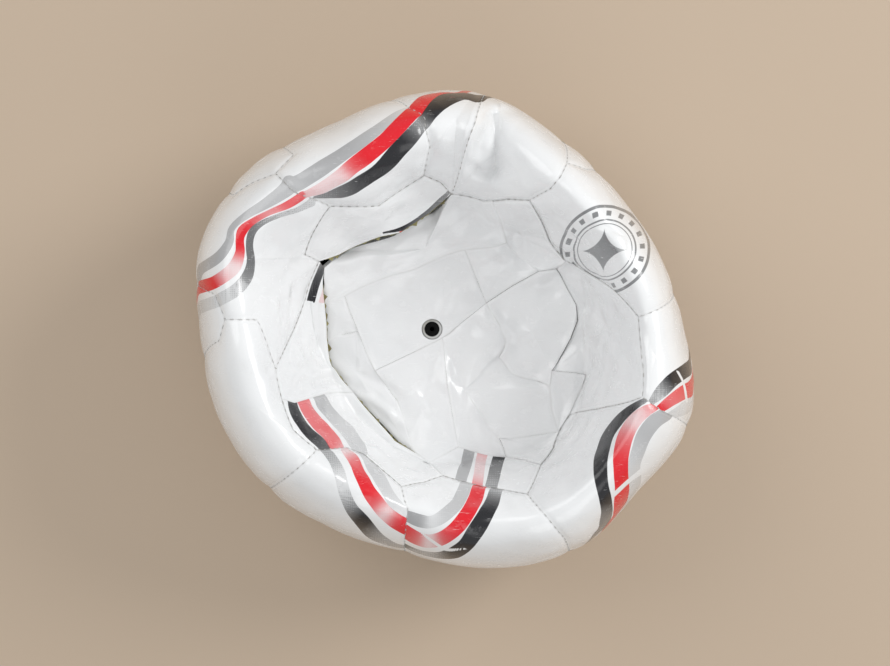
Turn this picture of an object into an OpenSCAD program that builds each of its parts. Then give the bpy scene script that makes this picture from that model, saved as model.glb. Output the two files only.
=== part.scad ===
// A stitched football that has lost its air: its top is pushed in to a crumpled hollow, and its side and foot
// keep their shape. The body is a loft round the vertical axis. Panels are laid on it between seam corners.

/* [Ball] */
// Diameter of the ball when it was full
ball_d = 220; // [200:1:240]
// Height of the widest circle above the surface the ball stands on
belly_h = 60; // [50:1:70]
// Radius of the flat spot that the ball stands on
rest_r = 36; // [30:1:40]
// Height of the hollow's floor at the valve
floor_h = 53; // [46:1:60]

/* [Cover] */
// Thickness of a cover panel
panel_t = 2.2; // [1.6:0.1:2.6]
// Gap between two panels along a closed seam
seam_gap = 0.4; // [0.3:0.05:0.6]
// Depth of the groove that a seam pulls into the cover
groove = 0.7; // [0.4:0.1:1.2]
// Longest side of a facet along a seam
facet = 13; // [10:1:20]

/* [Valve] */
// Diameter of the needle's hole
needle_d = 2; // [1.6:0.1:2.4]
// Diameter of the plug's face
plug_d = 7; // [6.5:0.1:7.6]
// Width of the sleeve's rim round the plug
sleeve_w = 1; // [0.8:0.1:1.2]
// Length of the plug
plug_h = 14; // [12:1:16]
// Clearance between the sleeve and the panel that it passes through
sleeve_gap = 0.3; // [0.2:0.05:0.5]
// Diameter of the flange that bonds the sleeve to the bladder
flange_d = 26; // [22:1:30]

/* [Bladder] */
// Wall of the rubber bladder
bladder_t = 1; // [0.8:0.1:1.4]
// Depth of the slack bladder below the hollow's floor
bladder_drop = 9; // [8:1:12]

/* [Hidden] */

scale_k = ball_d / 220;

// Vertical sections of the body, evenly round it: the outline's radius, the radius and height
// of the rim's crest, and the radius and height of the fold round the hollow's floor, for a 220 mm ball.
sections = [
    [108, 88, 120, 64, 62], [102, 84, 122, 66, 64], [ 99, 80, 122, 62, 68],
    [101, 82, 118, 52, 70], [108, 88, 113, 56, 74], [107, 86, 116, 56, 76],
    [106, 82, 120, 50, 72], [114, 90, 120, 58, 68], [117, 96, 118, 64, 64],
    [111, 88, 120, 60, 60], [110, 86, 121, 56, 58], [108, 84, 120, 56, 58],
    [104, 80, 116, 58, 60], [103, 80, 112, 62, 62], [110, 86, 112, 60, 60],
    [116, 92, 118, 68, 58], [114, 92, 122, 72, 58], [118, 92, 124, 68, 60]
];
section_angle = 360 / len(sections);

function unit(v) = v / norm(v);
function lerp(a, b, t) = a + (b - a) * t;

// A smooth curve through b and c, with a and d as the next points out
function blend(a, b, c, d, t) =
    b + 0.5 * t * (c - a + t * (2 * a - 5 * b + 4 * c - d + t * (3 * (b - c) + d - a)));

// The body's section at any azimuth
function section(az) =
    let (
        n = len(sections),
        turn = (az + 360) / section_angle,
        i = floor(turn),
        row = function(j) sections[(j + n) % n]
    )
    scale_k * blend(row(i - 1), row(i), row(i + 1), row(i + 2), turn - i);

// How the hollow's wall starts at the fold: 1 starts as a sine wave, and more starts it softer
wall_swell = 1.15;

// Height of the upper side at radius r in section s, with its floor at height low in the middle
function upper_height(r, s, low = floor_h) =
    let (out_r = s[0], crest_r = s[1], crest_h = s[2], fold_r = s[3], fold_h = s[4])
    r < fold_r ? lerp(low, fold_h, pow(r / fold_r, 2)) :
    r < crest_r ? lerp(fold_h, crest_h, pow(sin(90 * (r - fold_r) / (crest_r - fold_r)), wall_swell)) :
    lerp(belly_h, crest_h, sqrt(max(0, 1 - pow((r - crest_r) / (out_r - crest_r), 2))));

// Height of the lower side at radius r in section s
function lower_height(r, s) =
    let (t = max(0, r - rest_r) / (s[0] - rest_r))
    belly_h * (1 - sqrt(max(0, 1 - t * t)));

// The body's surface in direction u from the middle, where u's level part gives the share of the outline
function skin(u) =
    let (
        s = section(atan2(u[1], u[0])),
        share = norm([u[0], u[1]]),
        r = s[0] * share,
        level = share > 0 ? [u[0], u[1]] * s[0] : [0, 0],
        z = u[2] >= 0 ? upper_height(r, s) : lower_height(r, s)
    )
    [level[0], level[1], z];

// The outward normal of the body, taken over a few degrees so that it turns softly at a fold
reach = 0.05;
function normal(u) =
    let (
        e1 = unit(abs(u[2]) > 0.9 ? cross([0, 1, 0], u) : cross([0, 0, 1], u)),
        e2 = cross(u, e1),
        along = skin(unit(u + reach * e1)) - skin(unit(u - reach * e1)),
        across = skin(unit(u + reach * e2)) - skin(unit(u - reach * e2))
    )
    unit(cross(along, across));

// A seam corner is a direction and a lift above the body. It is set on the upper side by its place in plan,
// or on the side by its azimuth and its drop below the widest circle.
function on(x, y, lift = 0) =
    let (
        az = atan2(y, x),
        share = min(1, scale_k * norm([x, y]) / section(az)[0])
    )
    [share * cos(az), share * sin(az), sqrt(1 - share * share), lift];
function side(az, drop = 0) = [cos(az) * cos(drop), sin(az) * cos(drop), -sin(drop), 0];

function way(c) = [c[0], c[1], c[2]];
function mix(a, b, t) =
    let (u = unit(lerp(way(a), way(b), t)))
    [u[0], u[1], u[2], lerp(a[3], b[3], t)];
function place(c) = skin(way(c)) + [0, 0, scale_k * c[3]];

// A seam between two corners, cut to short steps. Both of its panels get the same steps.
function seam(a, b) =
    let (n = max(1, ceil(norm(place(a) - place(b)) / facet)))
    [for (i = [0 : n - 1]) mix(a, b, i / n)];
function outline(corners) =
    [for (i = [0 : len(corners) - 1]) each seam(corners[i], corners[(i + 1) % len(corners)])];

// One panel: rings from its middle out to its seams, and a back face at the panel's thickness. A panel that
// bends over the rim has more rings than one on a slope, on the floor or underneath.
side_rings = [[0.25, 0.5, 0.76, 0.94], [0.76, 0.5, 0.25]];
slope_rings = [[0.4, 0.74, 0.93], [0.74, 0.4]];
floor_rings = [[0.5, 0.93], [0.5]];
hem_taper = 0.3;
module panel(corners, middle, rings = slope_rings) {
    edge = outline(corners);
    n = len(edge);
    heart = place(middle);
    pull = function(p, far) p + far * unit(heart - p);
    front = [for (t = rings[0]) each [for (c = edge) place(mix(middle, c, t))]];
    lip = [for (c = edge) pull(place(c), seam_gap / 2) - groove * normal(way(c))];
    hem = [for (c = edge) pull(place(c), seam_gap / 2 + hem_taper) - (groove + panel_t) * normal(way(c))];
    back = [for (t = rings[1]) each [for (c = edge) let (m = mix(middle, c, t)) place(m) - panel_t * normal(way(m))]];
    points = concat(front, lip, hem, back, [heart, heart - panel_t * normal(way(middle))]);
    loops = len(rings[0]) + len(rings[1]) + 2;
    first = loops * n;
    strip = function(k) [for (i = [0 : n - 1]) let (j = (i + 1) % n, a = k * n, b = a + n)
        each k < len(rings[0]) ? [[a + i, b + j, b + i], [a + i, a + j, b + j]] :
            [[a + i, a + j, b + i], [a + j, b + j, b + i]]];
    polyhedron(points, concat(
        [for (i = [0 : n - 1]) [first, (i + 1) % n, i]],
        [for (k = [0 : loops - 2]) each strip(k)],
        [for (i = [0 : n - 1]) [first + 1, (loops - 1) * n + i, (loops - 1) * n + (i + 1) % n]]
    ));
}

// Corners at the widest circle, anticlockwise from the right, and the corners below them
e1 = side(10);
e2 = side(45);
e3 = side(59);
e4 = side(80);
e5 = side(105);
e6 = side(132);
e7 = side(148);
e8 = side(169);
e9 = side(188);
e10 = side(222);
e11 = side(260);
e12 = side(299);
e13 = side(338);
d1 = side(8, 30);
d2 = side(38, 22);
d3 = side(62, 30);
d4 = side(81, 22);
d5 = side(106, 30);
d6 = side(128, 22);
d7 = side(149, 30);
d8 = side(170, 22);
d9 = side(190, 30);
d10 = side(226, 24);
d11 = side(260, 30);
d12 = side(298, 24);
d13 = side(336, 32);

// Corners of the base panel
base_angle = 65;
u1 = side(8, base_angle);
u2 = side(62, base_angle);
u3 = side(106, base_angle);
u4 = side(152, base_angle);
u5 = side(226, base_angle);
u6 = side(298, base_angle);

// Corners on the rim, anticlockwise from the right
r1 = on(83, 5);
r2 = on(91, 8);
r3 = on(84, -12, 2);
r4 = on(73, 17, 4);
r5 = on(55, 31, 6);
r6 = on(43, 46, 4);
r7 = on(37, 56, -2);
r8 = on(45, 60);
r9 = on(50, 66);
r10 = on(53, 72);
r11 = on(62, 70);
r12 = on(28, 57, -2);
r13 = on(17, 57, -1);
r14 = on(3, 60, 3);
r15 = on(6, 68, 4);
r16 = on(10, 81, 5);
r17 = on(13, 89, 4);
r18 = on(-2, 65, 1);
r19 = on(-9, 67);
r20 = on(-6, 78, 1);
r21 = on(-8, 86, 1);
r22 = on(-9, 93);
r23 = on(-16, 97);
r24 = on(-17, 62, -1);
r25 = on(-29, 54, 0);
r26 = on(-50, 53);
r27 = on(-65, 59);
r28 = on(-73, 67);
r29 = on(-66, 76);
r30 = on(-84, 64);
r31 = on(-93, 59);
r32 = on(-95, 4);
r33 = on(-97, 9);
r34 = on(-100, 15);
r35 = on(-98, -5);
r36 = on(-81, 4);
r37 = on(-77, -7);
r38 = on(-55, -52, 2);
r39 = on(-62, -59);
r40 = on(-43, -52, 2);
r41 = on(-36, -55, 2);
r42 = on(-19, -69, 2);
r43 = on(-16, -78);
r44 = on(-9, -68, 1);
r45 = on(-1, -66, 1);
r46 = on(11, -68, 1);
r47 = on(22, -70);
r48 = on(36, -72);
r49 = on(43, -80);
r50 = on(52, -91);
r51 = on(84, -29);
r52 = on(93, -35);
r53 = on(71, -34, 2);

// Corners on the folds round the floor: those of the upper panel, then those of the floor where a seam gapes
f1 = on(-57, 31, 6);
f2 = on(-48, 34, 6);
f3 = on(-29, 41, 9);
f4 = on(-20, 43, 9);
f5 = on(-7, 52, 7);
f6 = on(-62, 33, 5);
f7 = on(-58, 42, 2);
f8 = on(-63, 14, 4);
f9 = on(-67, 0, 2);
f10 = on(-73, -17);
f11 = on(-70, -30);
f12 = on(-65, -43);
f13 = on(-65, -32);
f14 = on(-53, -29, 2);
f15 = on(-55, 28, 4);
f16 = on(-55, 12, 3);
f17 = on(-54, -4, 3);
f18 = on(-52, -17, 3);
f19 = on(-42, -29, 3);
f20 = on(-23, -51, 3);
f21 = on(-16, -55, 2);
f22 = on(-7, -61, 2);
g2 = on(-47, 34, -1);
g3 = on(-29, 39, -3);
g4 = on(-20, 41, -3);
g5 = on(-6, 50, -2);
g16 = on(-54, 12, -2);
g17 = on(-53, -4, -3);
g18 = on(-51, -18, -3);
g19 = on(-41, -28, -3);
g20 = on(-22, -50, -3);
g21 = on(-15, -54, -3);

// Corners on the right-hand folds
h1 = on(21, 57, -2);
h2 = on(25, 49, 0);
h3 = on(28, 39, 2);
h4 = on(33, 32, -2);
h5 = on(43, 27, 3);
h6 = on(51, 28, 1);
h7 = on(56, 18, 2);
h8 = on(60, 11, 2);
h9 = on(61, 4, 0);
h10 = on(58, -4, 0);
h11 = on(53, -13, 0);
h12 = on(49, -19, 3);
h13 = on(60, -20, 2);
h14 = on(65, -21, 1);
h15 = on(60, -33, 1);
h16 = on(57, -39, 2);
h17 = on(49, -54, 1);
h18 = on(43, -61, 1);
h19 = on(40, -65, 0);
h20 = on(52, -47, 2);

// Corners on the floor
p1 = on(-46, 15, 0);
p2 = on(-20, 26, 0);
p3 = on(9, 36, 1);
p4 = on(15, 22, 0);
p5 = on(19, 12, 1);
p6 = on(-40, -1, 2);
p7 = on(-37, -9, 2);
p8 = on(-32, -19, 3);
p9 = on(-27, -26, 1);
p10 = on(-22, -33, 0);
p11 = on(-1, -4, 0);
p12 = on(1, -25, 3);
p13 = on(25, 2, 3);
p14 = on(28, -6, 2);
p15 = on(25, -13, 0);
p16 = on(32, -18, -3);
p17 = on(43, -24, 0);
p18 = on(48, -26, 2);
p19 = on(49, -37, 2);
p20 = on(41, -49, 1);
p21 = on(25, -50, 2);
p22 = on(27, -55, 1);
p23 = on(28, -59, 0);
p24 = on(6, -54, 1);
p25 = on(36, -60, 1);
p26 = on(31, 20, 2);

valve_x = -6;
valve_y = 0;

module panel_side_right() {
    color("white") panel([e1, r2, r1, r3, r51, r52, e13, d13, d1], on(90, -12), side_rings);
}
module panel_side_badge() {
    color("white") panel([e2, r11, r10, r9, r8, r7, r6, r5, r4, r1, r2, e1, d1, d2], on(77, 39), side_rings);
}
module panel_side_corner() {
    color("white") panel([e3, r10, r11, e2, d2, d3], side(51, 8));
}
module panel_side_pleat() {
    color("white") panel([e4, r17, r16, r15, r14, r13, h1, r12, r7, r8, r9, r10, e3, d3, d4], on(24, 78, -6), side_rings);
}
module panel_side_top() {
    color("white") panel([e5, r23, r22, r21, r20, r19, r18, r14, r15, r16, r17, e4, d4, d5], on(5, 91), side_rings);
}
module panel_side_wave() {
    color("white") panel([e6, r29, r28, r27, r26, r25, r24, r19, r20, r21, r22, r23, e5, d5, d6], on(-42, 74), side_rings);
}
module panel_side_upper_left() {
    color("white") panel([e7, r31, r30, r28, r29, e6, d6, d7], side(141, 6));
}
module panel_side_bend() {
    color("white") panel([e8, r34, r33, r32, r36, r37, f10, f9, f8, f1, f6, f7, r26, r27, r28, r30, r31, e7, d7, d8],
        on(-84, 30), side_rings);
}
module panel_side_left_corner() {
    color("white") panel([e9, r35, r32, r33, r34, e8, d8, d9], side(179, 8));
}
module panel_side_left() {
    color("white") panel([e10, r39, r38, f12, f11, f10, r37, r36, r32, r35, e9, d9, d10], on(-80, -34), side_rings);
}
module panel_side_lower_left() {
    color("white") panel([e11, r43, r42, r41, r40, r38, r39, e10, d10, d11], on(-44, -72), side_rings);
}
module panel_side_front() {
    color("white") panel([e12, r50, r49, r48, r47, r46, r45, r44, r42, r43, e11, d11, d12], on(13, -85), side_rings);
}
module panel_side_lower_right() {
    color("white") panel([e13, r52, r51, r53, h16, h20, h17, h18, r48, r49, r50, e12, d12, d13], on(68, -62), side_rings);
}
module panel_slope_top() {
    color("white") panel([r26, f7, f6, f1, f2, f3, f4, f5, r14, r18, r19, r24, r25], on(-28, 48, 2));
}
module panel_slope_pocket() {
    color("white") panel([r7, r12, h1, h2, h3, h4, h5, h6, r5, r6], on(36, 42, -1));
}
module panel_slope_right() {
    color("white") panel([r1, r4, r5, h6, h7, h8, h9, h10, h11, h12, h13, h14, h15, h16, r53,
        r51, r3], on(73, 0, -2), side_rings);
}
module panel_slope_left() {
    color("white") panel([f1, f8, f9, f10, f11, f13, f14, f19, f18, f17, f16, f15], on(-61, -17, 2), side_rings);
}
module panel_slope_stripe() {
    color("white") panel([f11, f12, r38, r40, r41, r42, r44, r45, f22, f21, f20, f19, f14, f13], on(-39, -47, 2));
}
module panel_slope_front() {
    color("white") panel([p24, f22, r45, r46, r47, r48, h18, p25, p23], on(18, -63));
}
module panel_floor_valve() {
    color("white") difference() {
        panel([p1, p6, p7, p8, p11, p5, p4, p3, p2], on(-12, 8), floor_rings);
        at_valve(floor_h - 8) cylinder(r = sleeve_r + sleeve_gap, h = 16, $fn = 48);
    }
}
module panel_floor_top() {
    color("white") panel([f15, g16, p1, p2, p3, h3, h2, h1, r13, r14, g5, g4, g3, g2], on(-9, 37), floor_rings);
}
module panel_floor_left() {
    color("white") panel([g16, g17, p6, p1], on(-49, 6), floor_rings);
}
module panel_floor_lower_left() {
    color("white") panel([g17, g18, g19, g20, g21, p10, p9, p8, p7, p6], on(-41, -19), floor_rings);
}
module panel_floor_front() {
    color("white") panel([p8, p9, p10, g21, f22, p24, p12, p11], on(-10, -32), floor_rings);
}
module panel_floor_centre() {
    color("white") panel([p11, p12, p24, p23, p22, p21, p20, h20, p19, p18, p17, p16, p15, p14, p13, p5],
        on(9, -28), floor_rings);
}
module panel_floor_wedge() {
    color("white") panel([p3, p4, p5, p26, h5, h4, h3], on(25, 26), floor_rings);
}
module panel_floor_raised() {
    color("white") panel([p26, p5, p13, p14, p15, p16, p17, p18, h12, h11, h10, h9, h8, h7, h6, h5], on(40, -1, 2), floor_rings);
}
module panel_floor_tab() {
    color("white") panel([h12, p18, p19, h20, h16, h15, h14, h13], on(56, -31, 1), floor_rings);
}
module panel_floor_corner() {
    color("white") panel([h20, p20, p21, p22, p23, p25, h18, h17], on(42, -54), floor_rings);
}
module panel_under_1() {
    color("white") panel([d2, d1, u1, u2, d3], side(36, 46), floor_rings);
}
module panel_under_2() {
    color("white") panel([d4, d3, u2, u3, d5], side(84, 46), floor_rings);
}
module panel_under_3() {
    color("white") panel([d6, d5, u3, u4, d7], side(129, 46), floor_rings);
}
module panel_under_4() {
    color("white") panel([d9, d8, d7, u4, u5, d10], side(188, 46), floor_rings);
}
module panel_under_5() {
    color("white") panel([d11, d10, u5, u6, d12], side(262, 46), floor_rings);
}
module panel_under_6() {
    color("white") panel([d13, d12, u6, u1, d1], side(333, 46), floor_rings);
}
module panel_base() {
    color("white") panel([u6, u5, u4, u3, u2, u1], side(0, 90), floor_rings);
}

// The bladder hangs slack inside the cover: narrower, lower at the crest and under the floor. Its middle is
// flat out to a share of its outline, as a seat for the valve's flange.
slack = [6.5, 0, 18, -13, bladder_drop + 1];
bladder_foot = 4.5;
bladder_seat = 0.3;
function slack_section(u) = section(atan2(u[1], u[0])) - slack;
function slack_skin(u) =
    let (
        s = slack_section(u),
        share = norm([u[0], u[1]]),
        r = s[0] * share,
        low = floor_h - bladder_drop,
        z = u[2] < 0 ? bladder_foot + lower_height(r, s) * (belly_h - bladder_foot) / belly_h :
            share < bladder_seat ? low : upper_height(r, s, low)
    )
    [s[0] * u[0], s[0] * u[1], z];

// The way into the rubber: down and outwards on the hollow's side of the crest, inwards beyond it
crest_blend = 0.1;
function inward(u) =
    let (
        s = slack_section(u),
        share = norm([u[0], u[1]]),
        past = (s[1] / s[0] - share) / crest_blend + 0.3,
        lean = max(-1, min(1, past))
    )
    u[2] < 0 ? -u : share > 0 ? [u[0] * lean / share, u[1] * lean / share, -1] : [0, 0, -1];

bladder_sides = 22;
bladder_rows = 12;
module closed_skin(depth) {
    n = bladder_sides;
    sunk = function(u) slack_skin(u) + depth * inward(u);
    rows = [for (k = [1 : bladder_rows - 1]) let (tilt = 90 - 180 * k / bladder_rows)
        each [for (i = [0 : n - 1]) let (az = 360 * i / n)
            sunk([cos(az) * cos(tilt), sin(az) * cos(tilt), sin(tilt)])]];
    top = sunk([0, 0, 1]);
    foot = sunk([0, 0, -1]);
    last = len(rows) - n;
    polyhedron(concat(rows, [top, foot]), concat(
        [for (i = [0 : n - 1]) [len(rows), (i + 1) % n, i]],
        [for (k = [0 : n : last - n]) each [for (i = [0 : n - 1]) let (j = (i + 1) % n)
            each [[k + i, k + j, k + n + j], [k + i, k + n + j, k + n + i]]]],
        [for (i = [0 : n - 1]) [len(rows) + 1, last + i, last + (i + 1) % n]]
    ));
}
module bladder() {
    color("dimgray") difference() {
        closed_skin(0);
        closed_skin(bladder_t);
        at_valve(floor_h - bladder_drop - 4) cylinder(r = sleeve_r + sleeve_gap, h = 8, $fn = 48);
    }
}

// The valve: a rubber sleeve through the cover, with a flange that is bonded on the bladder, and a plug in it
sleeve_r = plug_d / 2 + sleeve_w;
sleeve_top = floor_h + 0.6;
plug_top = floor_h + 0.2;
flange_t = 1.2;
flange_z = floor_h - bladder_drop + 0.05;
module at_valve(z) translate([valve_x, valve_y, z]) children();
module valve_sleeve() {
    color("gainsboro") at_valve(0) difference() {
        union() {
            translate([0, 0, sleeve_top - plug_h]) cylinder(r = sleeve_r, h = plug_h, $fn = 48);
            translate([0, 0, flange_z]) cylinder(d = flange_d, h = flange_t, $fn = 64);
        }
        translate([0, 0, sleeve_top - plug_h - 1]) cylinder(d = plug_d, h = plug_h + 2, $fn = 48);
    }
}
module valve_plug() {
    color("black") at_valve(plug_top - plug_h) difference() {
        cylinder(d = plug_d - 0.04, h = plug_h, $fn = 48);
        translate([0, 0, -1]) cylinder(d = needle_d, h = plug_h + 2, $fn = 32);
        translate([0, 0, plug_h - 0.6]) cylinder(d1 = needle_d, d2 = 2 * needle_d, h = 0.7, $fn = 32);
    }
}

panel_side_right();
panel_side_badge();
panel_side_corner();
panel_side_pleat();
panel_side_top();
panel_side_wave();
panel_side_upper_left();
panel_side_bend();
panel_side_left_corner();
panel_side_left();
panel_side_lower_left();
panel_side_front();
panel_side_lower_right();
panel_slope_top();
panel_slope_pocket();
panel_slope_right();
panel_slope_left();
panel_slope_stripe();
panel_slope_front();
panel_floor_valve();
panel_floor_top();
panel_floor_left();
panel_floor_lower_left();
panel_floor_front();
panel_floor_centre();
panel_floor_wedge();
panel_floor_raised();
panel_floor_tab();
panel_floor_corner();
panel_under_1();
panel_under_2();
panel_under_3();
panel_under_4();
panel_under_5();
panel_under_6();
panel_base();
bladder();
valve_sleeve();
valve_plug();
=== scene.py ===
"""Looks of a deflated football: panels with prints and creases, stitches, lining, valve and studio."""
import logging
import math
from collections.abc import Iterable
from dataclasses import dataclass, field
from enum import Enum

import bpy
import numpy as np
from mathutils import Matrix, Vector
from mathutils.kdtree import KDTree


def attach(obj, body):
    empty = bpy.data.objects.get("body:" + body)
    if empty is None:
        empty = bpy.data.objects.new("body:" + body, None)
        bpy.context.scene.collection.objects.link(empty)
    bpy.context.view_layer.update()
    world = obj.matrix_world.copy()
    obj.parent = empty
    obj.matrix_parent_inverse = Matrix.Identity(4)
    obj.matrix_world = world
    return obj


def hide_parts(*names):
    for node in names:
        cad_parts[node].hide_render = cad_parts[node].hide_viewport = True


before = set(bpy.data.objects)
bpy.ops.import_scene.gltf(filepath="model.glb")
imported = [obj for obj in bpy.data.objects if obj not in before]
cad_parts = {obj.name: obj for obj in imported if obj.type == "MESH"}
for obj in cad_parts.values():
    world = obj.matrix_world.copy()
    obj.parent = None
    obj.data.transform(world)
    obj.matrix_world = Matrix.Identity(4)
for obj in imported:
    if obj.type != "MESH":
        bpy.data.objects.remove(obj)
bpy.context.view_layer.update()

log = logging.getLogger("football")
MM = 0.001
SEED = 41
BODY = "root"
FAR = -9.0  # what a print's field says where there is no print near, in mm
HUGE = 1e9  # farther away than anything here, in mm
VALVE_PANEL = "panel_floor_valve"
VALVE_AT = (-6.0, 0.0)  # the valve's place as seen from above, in mm
VALVE_HOLE_R = 4.8  # the radius of its panel's hole, in mm
Pair = tuple[float, float]
Triple = tuple[float, float, float]
Numbers = tuple[int, ...]
Colour = tuple[float, float, float, float]


class Ink(Enum):
    """The printing inks, by their place in the print attribute, and the bare lines cut out of them."""

    GREY = 0
    RED = 1
    BLACK = 2
    BARE = 3


def placed(name: str, data: bpy.types.ID) -> bpy.types.Object:
    """Make an object of its data and put it in the scene.

    Args:
        name: The piece's name.
        data: Its mesh or curve.

    Returns:
        The new object.
    """
    obj = bpy.data.objects.new(name, data)
    bpy.context.collection.objects.link(obj)
    return obj


def add_node(tree: bpy.types.NodeTree, kind: str, settings: dict[str, object] | None = None,
             inputs: dict[str | int, object] | None = None) -> bpy.types.Node:
    """Add a node to a tree.

    Args:
        tree: The node tree.
        kind: The node's type.
        settings: Its properties, set before its sockets.
        inputs: Values for its input sockets, or sockets to link them to.

    Returns:
        The node.
    """
    made = tree.nodes.new(kind)
    for key, value in (settings or {}).items():
        setattr(made, key, value)
    for key, value in (inputs or {}).items():
        if isinstance(value, bpy.types.NodeSocket):
            tree.links.new(value, made.inputs[key])
        else:
            made.inputs[key].default_value = value
    return made


def search_tree(points: np.ndarray, numbers: Iterable[int]) -> KDTree:
    """A tree that finds the nearest of the points and gives its number.

    Args:
        points: The places to look among.
        numbers: The number that each place answers with.

    Returns:
        The tree, ready to search.
    """
    tree = KDTree(len(points))
    for p, number in zip(points, numbers):
        tree.insert(Vector(p), int(number))
    tree.balance()
    return tree


def between(a: np.ndarray, b: np.ndarray, c: np.ndarray, d: np.ndarray, t: np.ndarray | float) -> np.ndarray:
    """The place at share t of the way from b to c on the smooth curve through a, b, c and d."""
    return b + 0.5 * t * (c - a + t * (2 * a - 5 * b + 4 * c - d + t * (3 * (b - c) + d - a)))


def curve(rows: np.ndarray, steps: int = 4) -> np.ndarray:
    """A smooth curve through rows of numbers, with the given number of steps between two rows.

    Args:
        rows: The rows that the curve passes through.
        steps: How many steps lie between two rows.

    Returns:
        All the rows of the curve, ends included.
    """
    padded = np.vstack([2 * rows[:1] - rows[1:2], rows, 2 * rows[-1:] - rows[-2:-1]])
    shares = np.arange(steps) / steps
    out = [between(*padded[i:i + 4], t) for i in range(len(rows) - 1) for t in shares]
    return np.array([*out, rows[-1]])


@dataclass(frozen=True)
class Band:
    """One printed band, in rows of x, y, half width and how dense its ink is, as seen from above and in mm.

    Its ends run out down the ball's side by run_out mm. Where that is below 0 they run straight on instead,
    for the length of the lead at least.
    """

    ink: Ink
    panels: str
    run_out: tuple[float, float]
    rows: list[tuple[float, float, float, float]]
    lead: float = 13.0

    def stretched(self) -> np.ndarray:
        """The rows with both ends run out, as a smooth curve.

        Returns:
            Rows of x, y, half width and density along the curve.
        """
        rows = np.array(self.rows, float)
        for far in self.run_out:
            if far:
                tip, back = rows[:2, :2]
                on = unit(tip - back)
                turn = tip + self.lead * on
                end = tip - far * on if far < 0 else turn + far * unit(turn + self.lead * on)
                rows = np.vstack([[*end, *rows[0, 2:]], [*turn, *rows[0, 2:]], rows])
            rows = rows[::-1]
        rows = curve(rows)
        rows[:, 3] = np.clip(rows[:, 3], 0, 1)
        return rows


@dataclass(frozen=True)
class Crease:
    """A crease: its line as seen from above, its height (below 0 for a valley) and its half width in mm.

    A fold is sharp along its line. Height and width grow by the factor grow from its start to its end. An
    upright crease moves the skin straight up or down and not along its normal. A fold fades out over
    fold_ends steps of its line, and a soft crease fades to the share end_share over soft_end steps.
    """

    line: list[Pair]
    height: float
    width: float
    panels: str = "panel_"
    fold: bool = False
    grow: float = 1.0
    upright: bool = False
    tip: float = 0.1
    fold_ends: Pair = (2.0, 5.0)
    soft_end: float = 3.0
    end_share: float = 0.35

    def profile(self, seen: np.ndarray) -> np.ndarray:
        """How far the crease moves points that lie at the given places as seen from above.

        Args:
            seen: (n, 2) places in mm.

        Returns:
            A height in mm for each place.
        """
        line = curve(np.array(self.line, float))
        far, place = along(seen, line)
        last = len(line) - 1
        size = 1 + (self.grow - 1) * place / last
        far = far / (self.width * size)
        if self.fold:
            shape = np.exp(self.tip - np.hypot(far, self.tip))
            start, end = self.fold_ends
            ends = smooth(place, 0, start) * smooth(last - place, 0, end)
        else:
            shape = np.exp(-2 * far ** 2)
            near_end = smooth(np.minimum(place, last - place), 0, self.soft_end)
            ends = self.end_share + (1 - self.end_share) * near_end
        return self.height * size * shape * ends


def along(points: np.ndarray, line: np.ndarray) -> tuple[np.ndarray, np.ndarray]:
    """Distance from each point to a line of points, and how far along the line the nearest place is.

    Args:
        points: (m, 2) points.
        line: (n, 2) corners of the line.

    Returns:
        The distances, and the places as 0 to n - 1.
    """
    best = np.full(len(points), HUGE)
    place = np.zeros(len(points))
    for k in range(len(line) - 1):
        a, b = line[k], line[k + 1]
        step = b - a
        t = np.clip(((points - a) @ step) / max(step @ step, 1e-9), 0, 1)
        far = np.linalg.norm(points - (a + t[:, None] * step), axis=1)
        closer = far < best
        best[closer] = far[closer]
        place[closer] = k + t[closer]
    return best, place


def smooth(x: np.ndarray, low: float, high: float) -> np.ndarray:
    """A soft step from 0 at low to 1 at high."""
    t = np.clip((x - low) / (high - low), 0, 1)
    return t * t * (3 - 2 * t)


def unit(v: np.ndarray) -> np.ndarray:
    """The vectors at length one."""
    return v / np.maximum(np.linalg.norm(v, axis=-1, keepdims=True), 1e-12)


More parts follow.
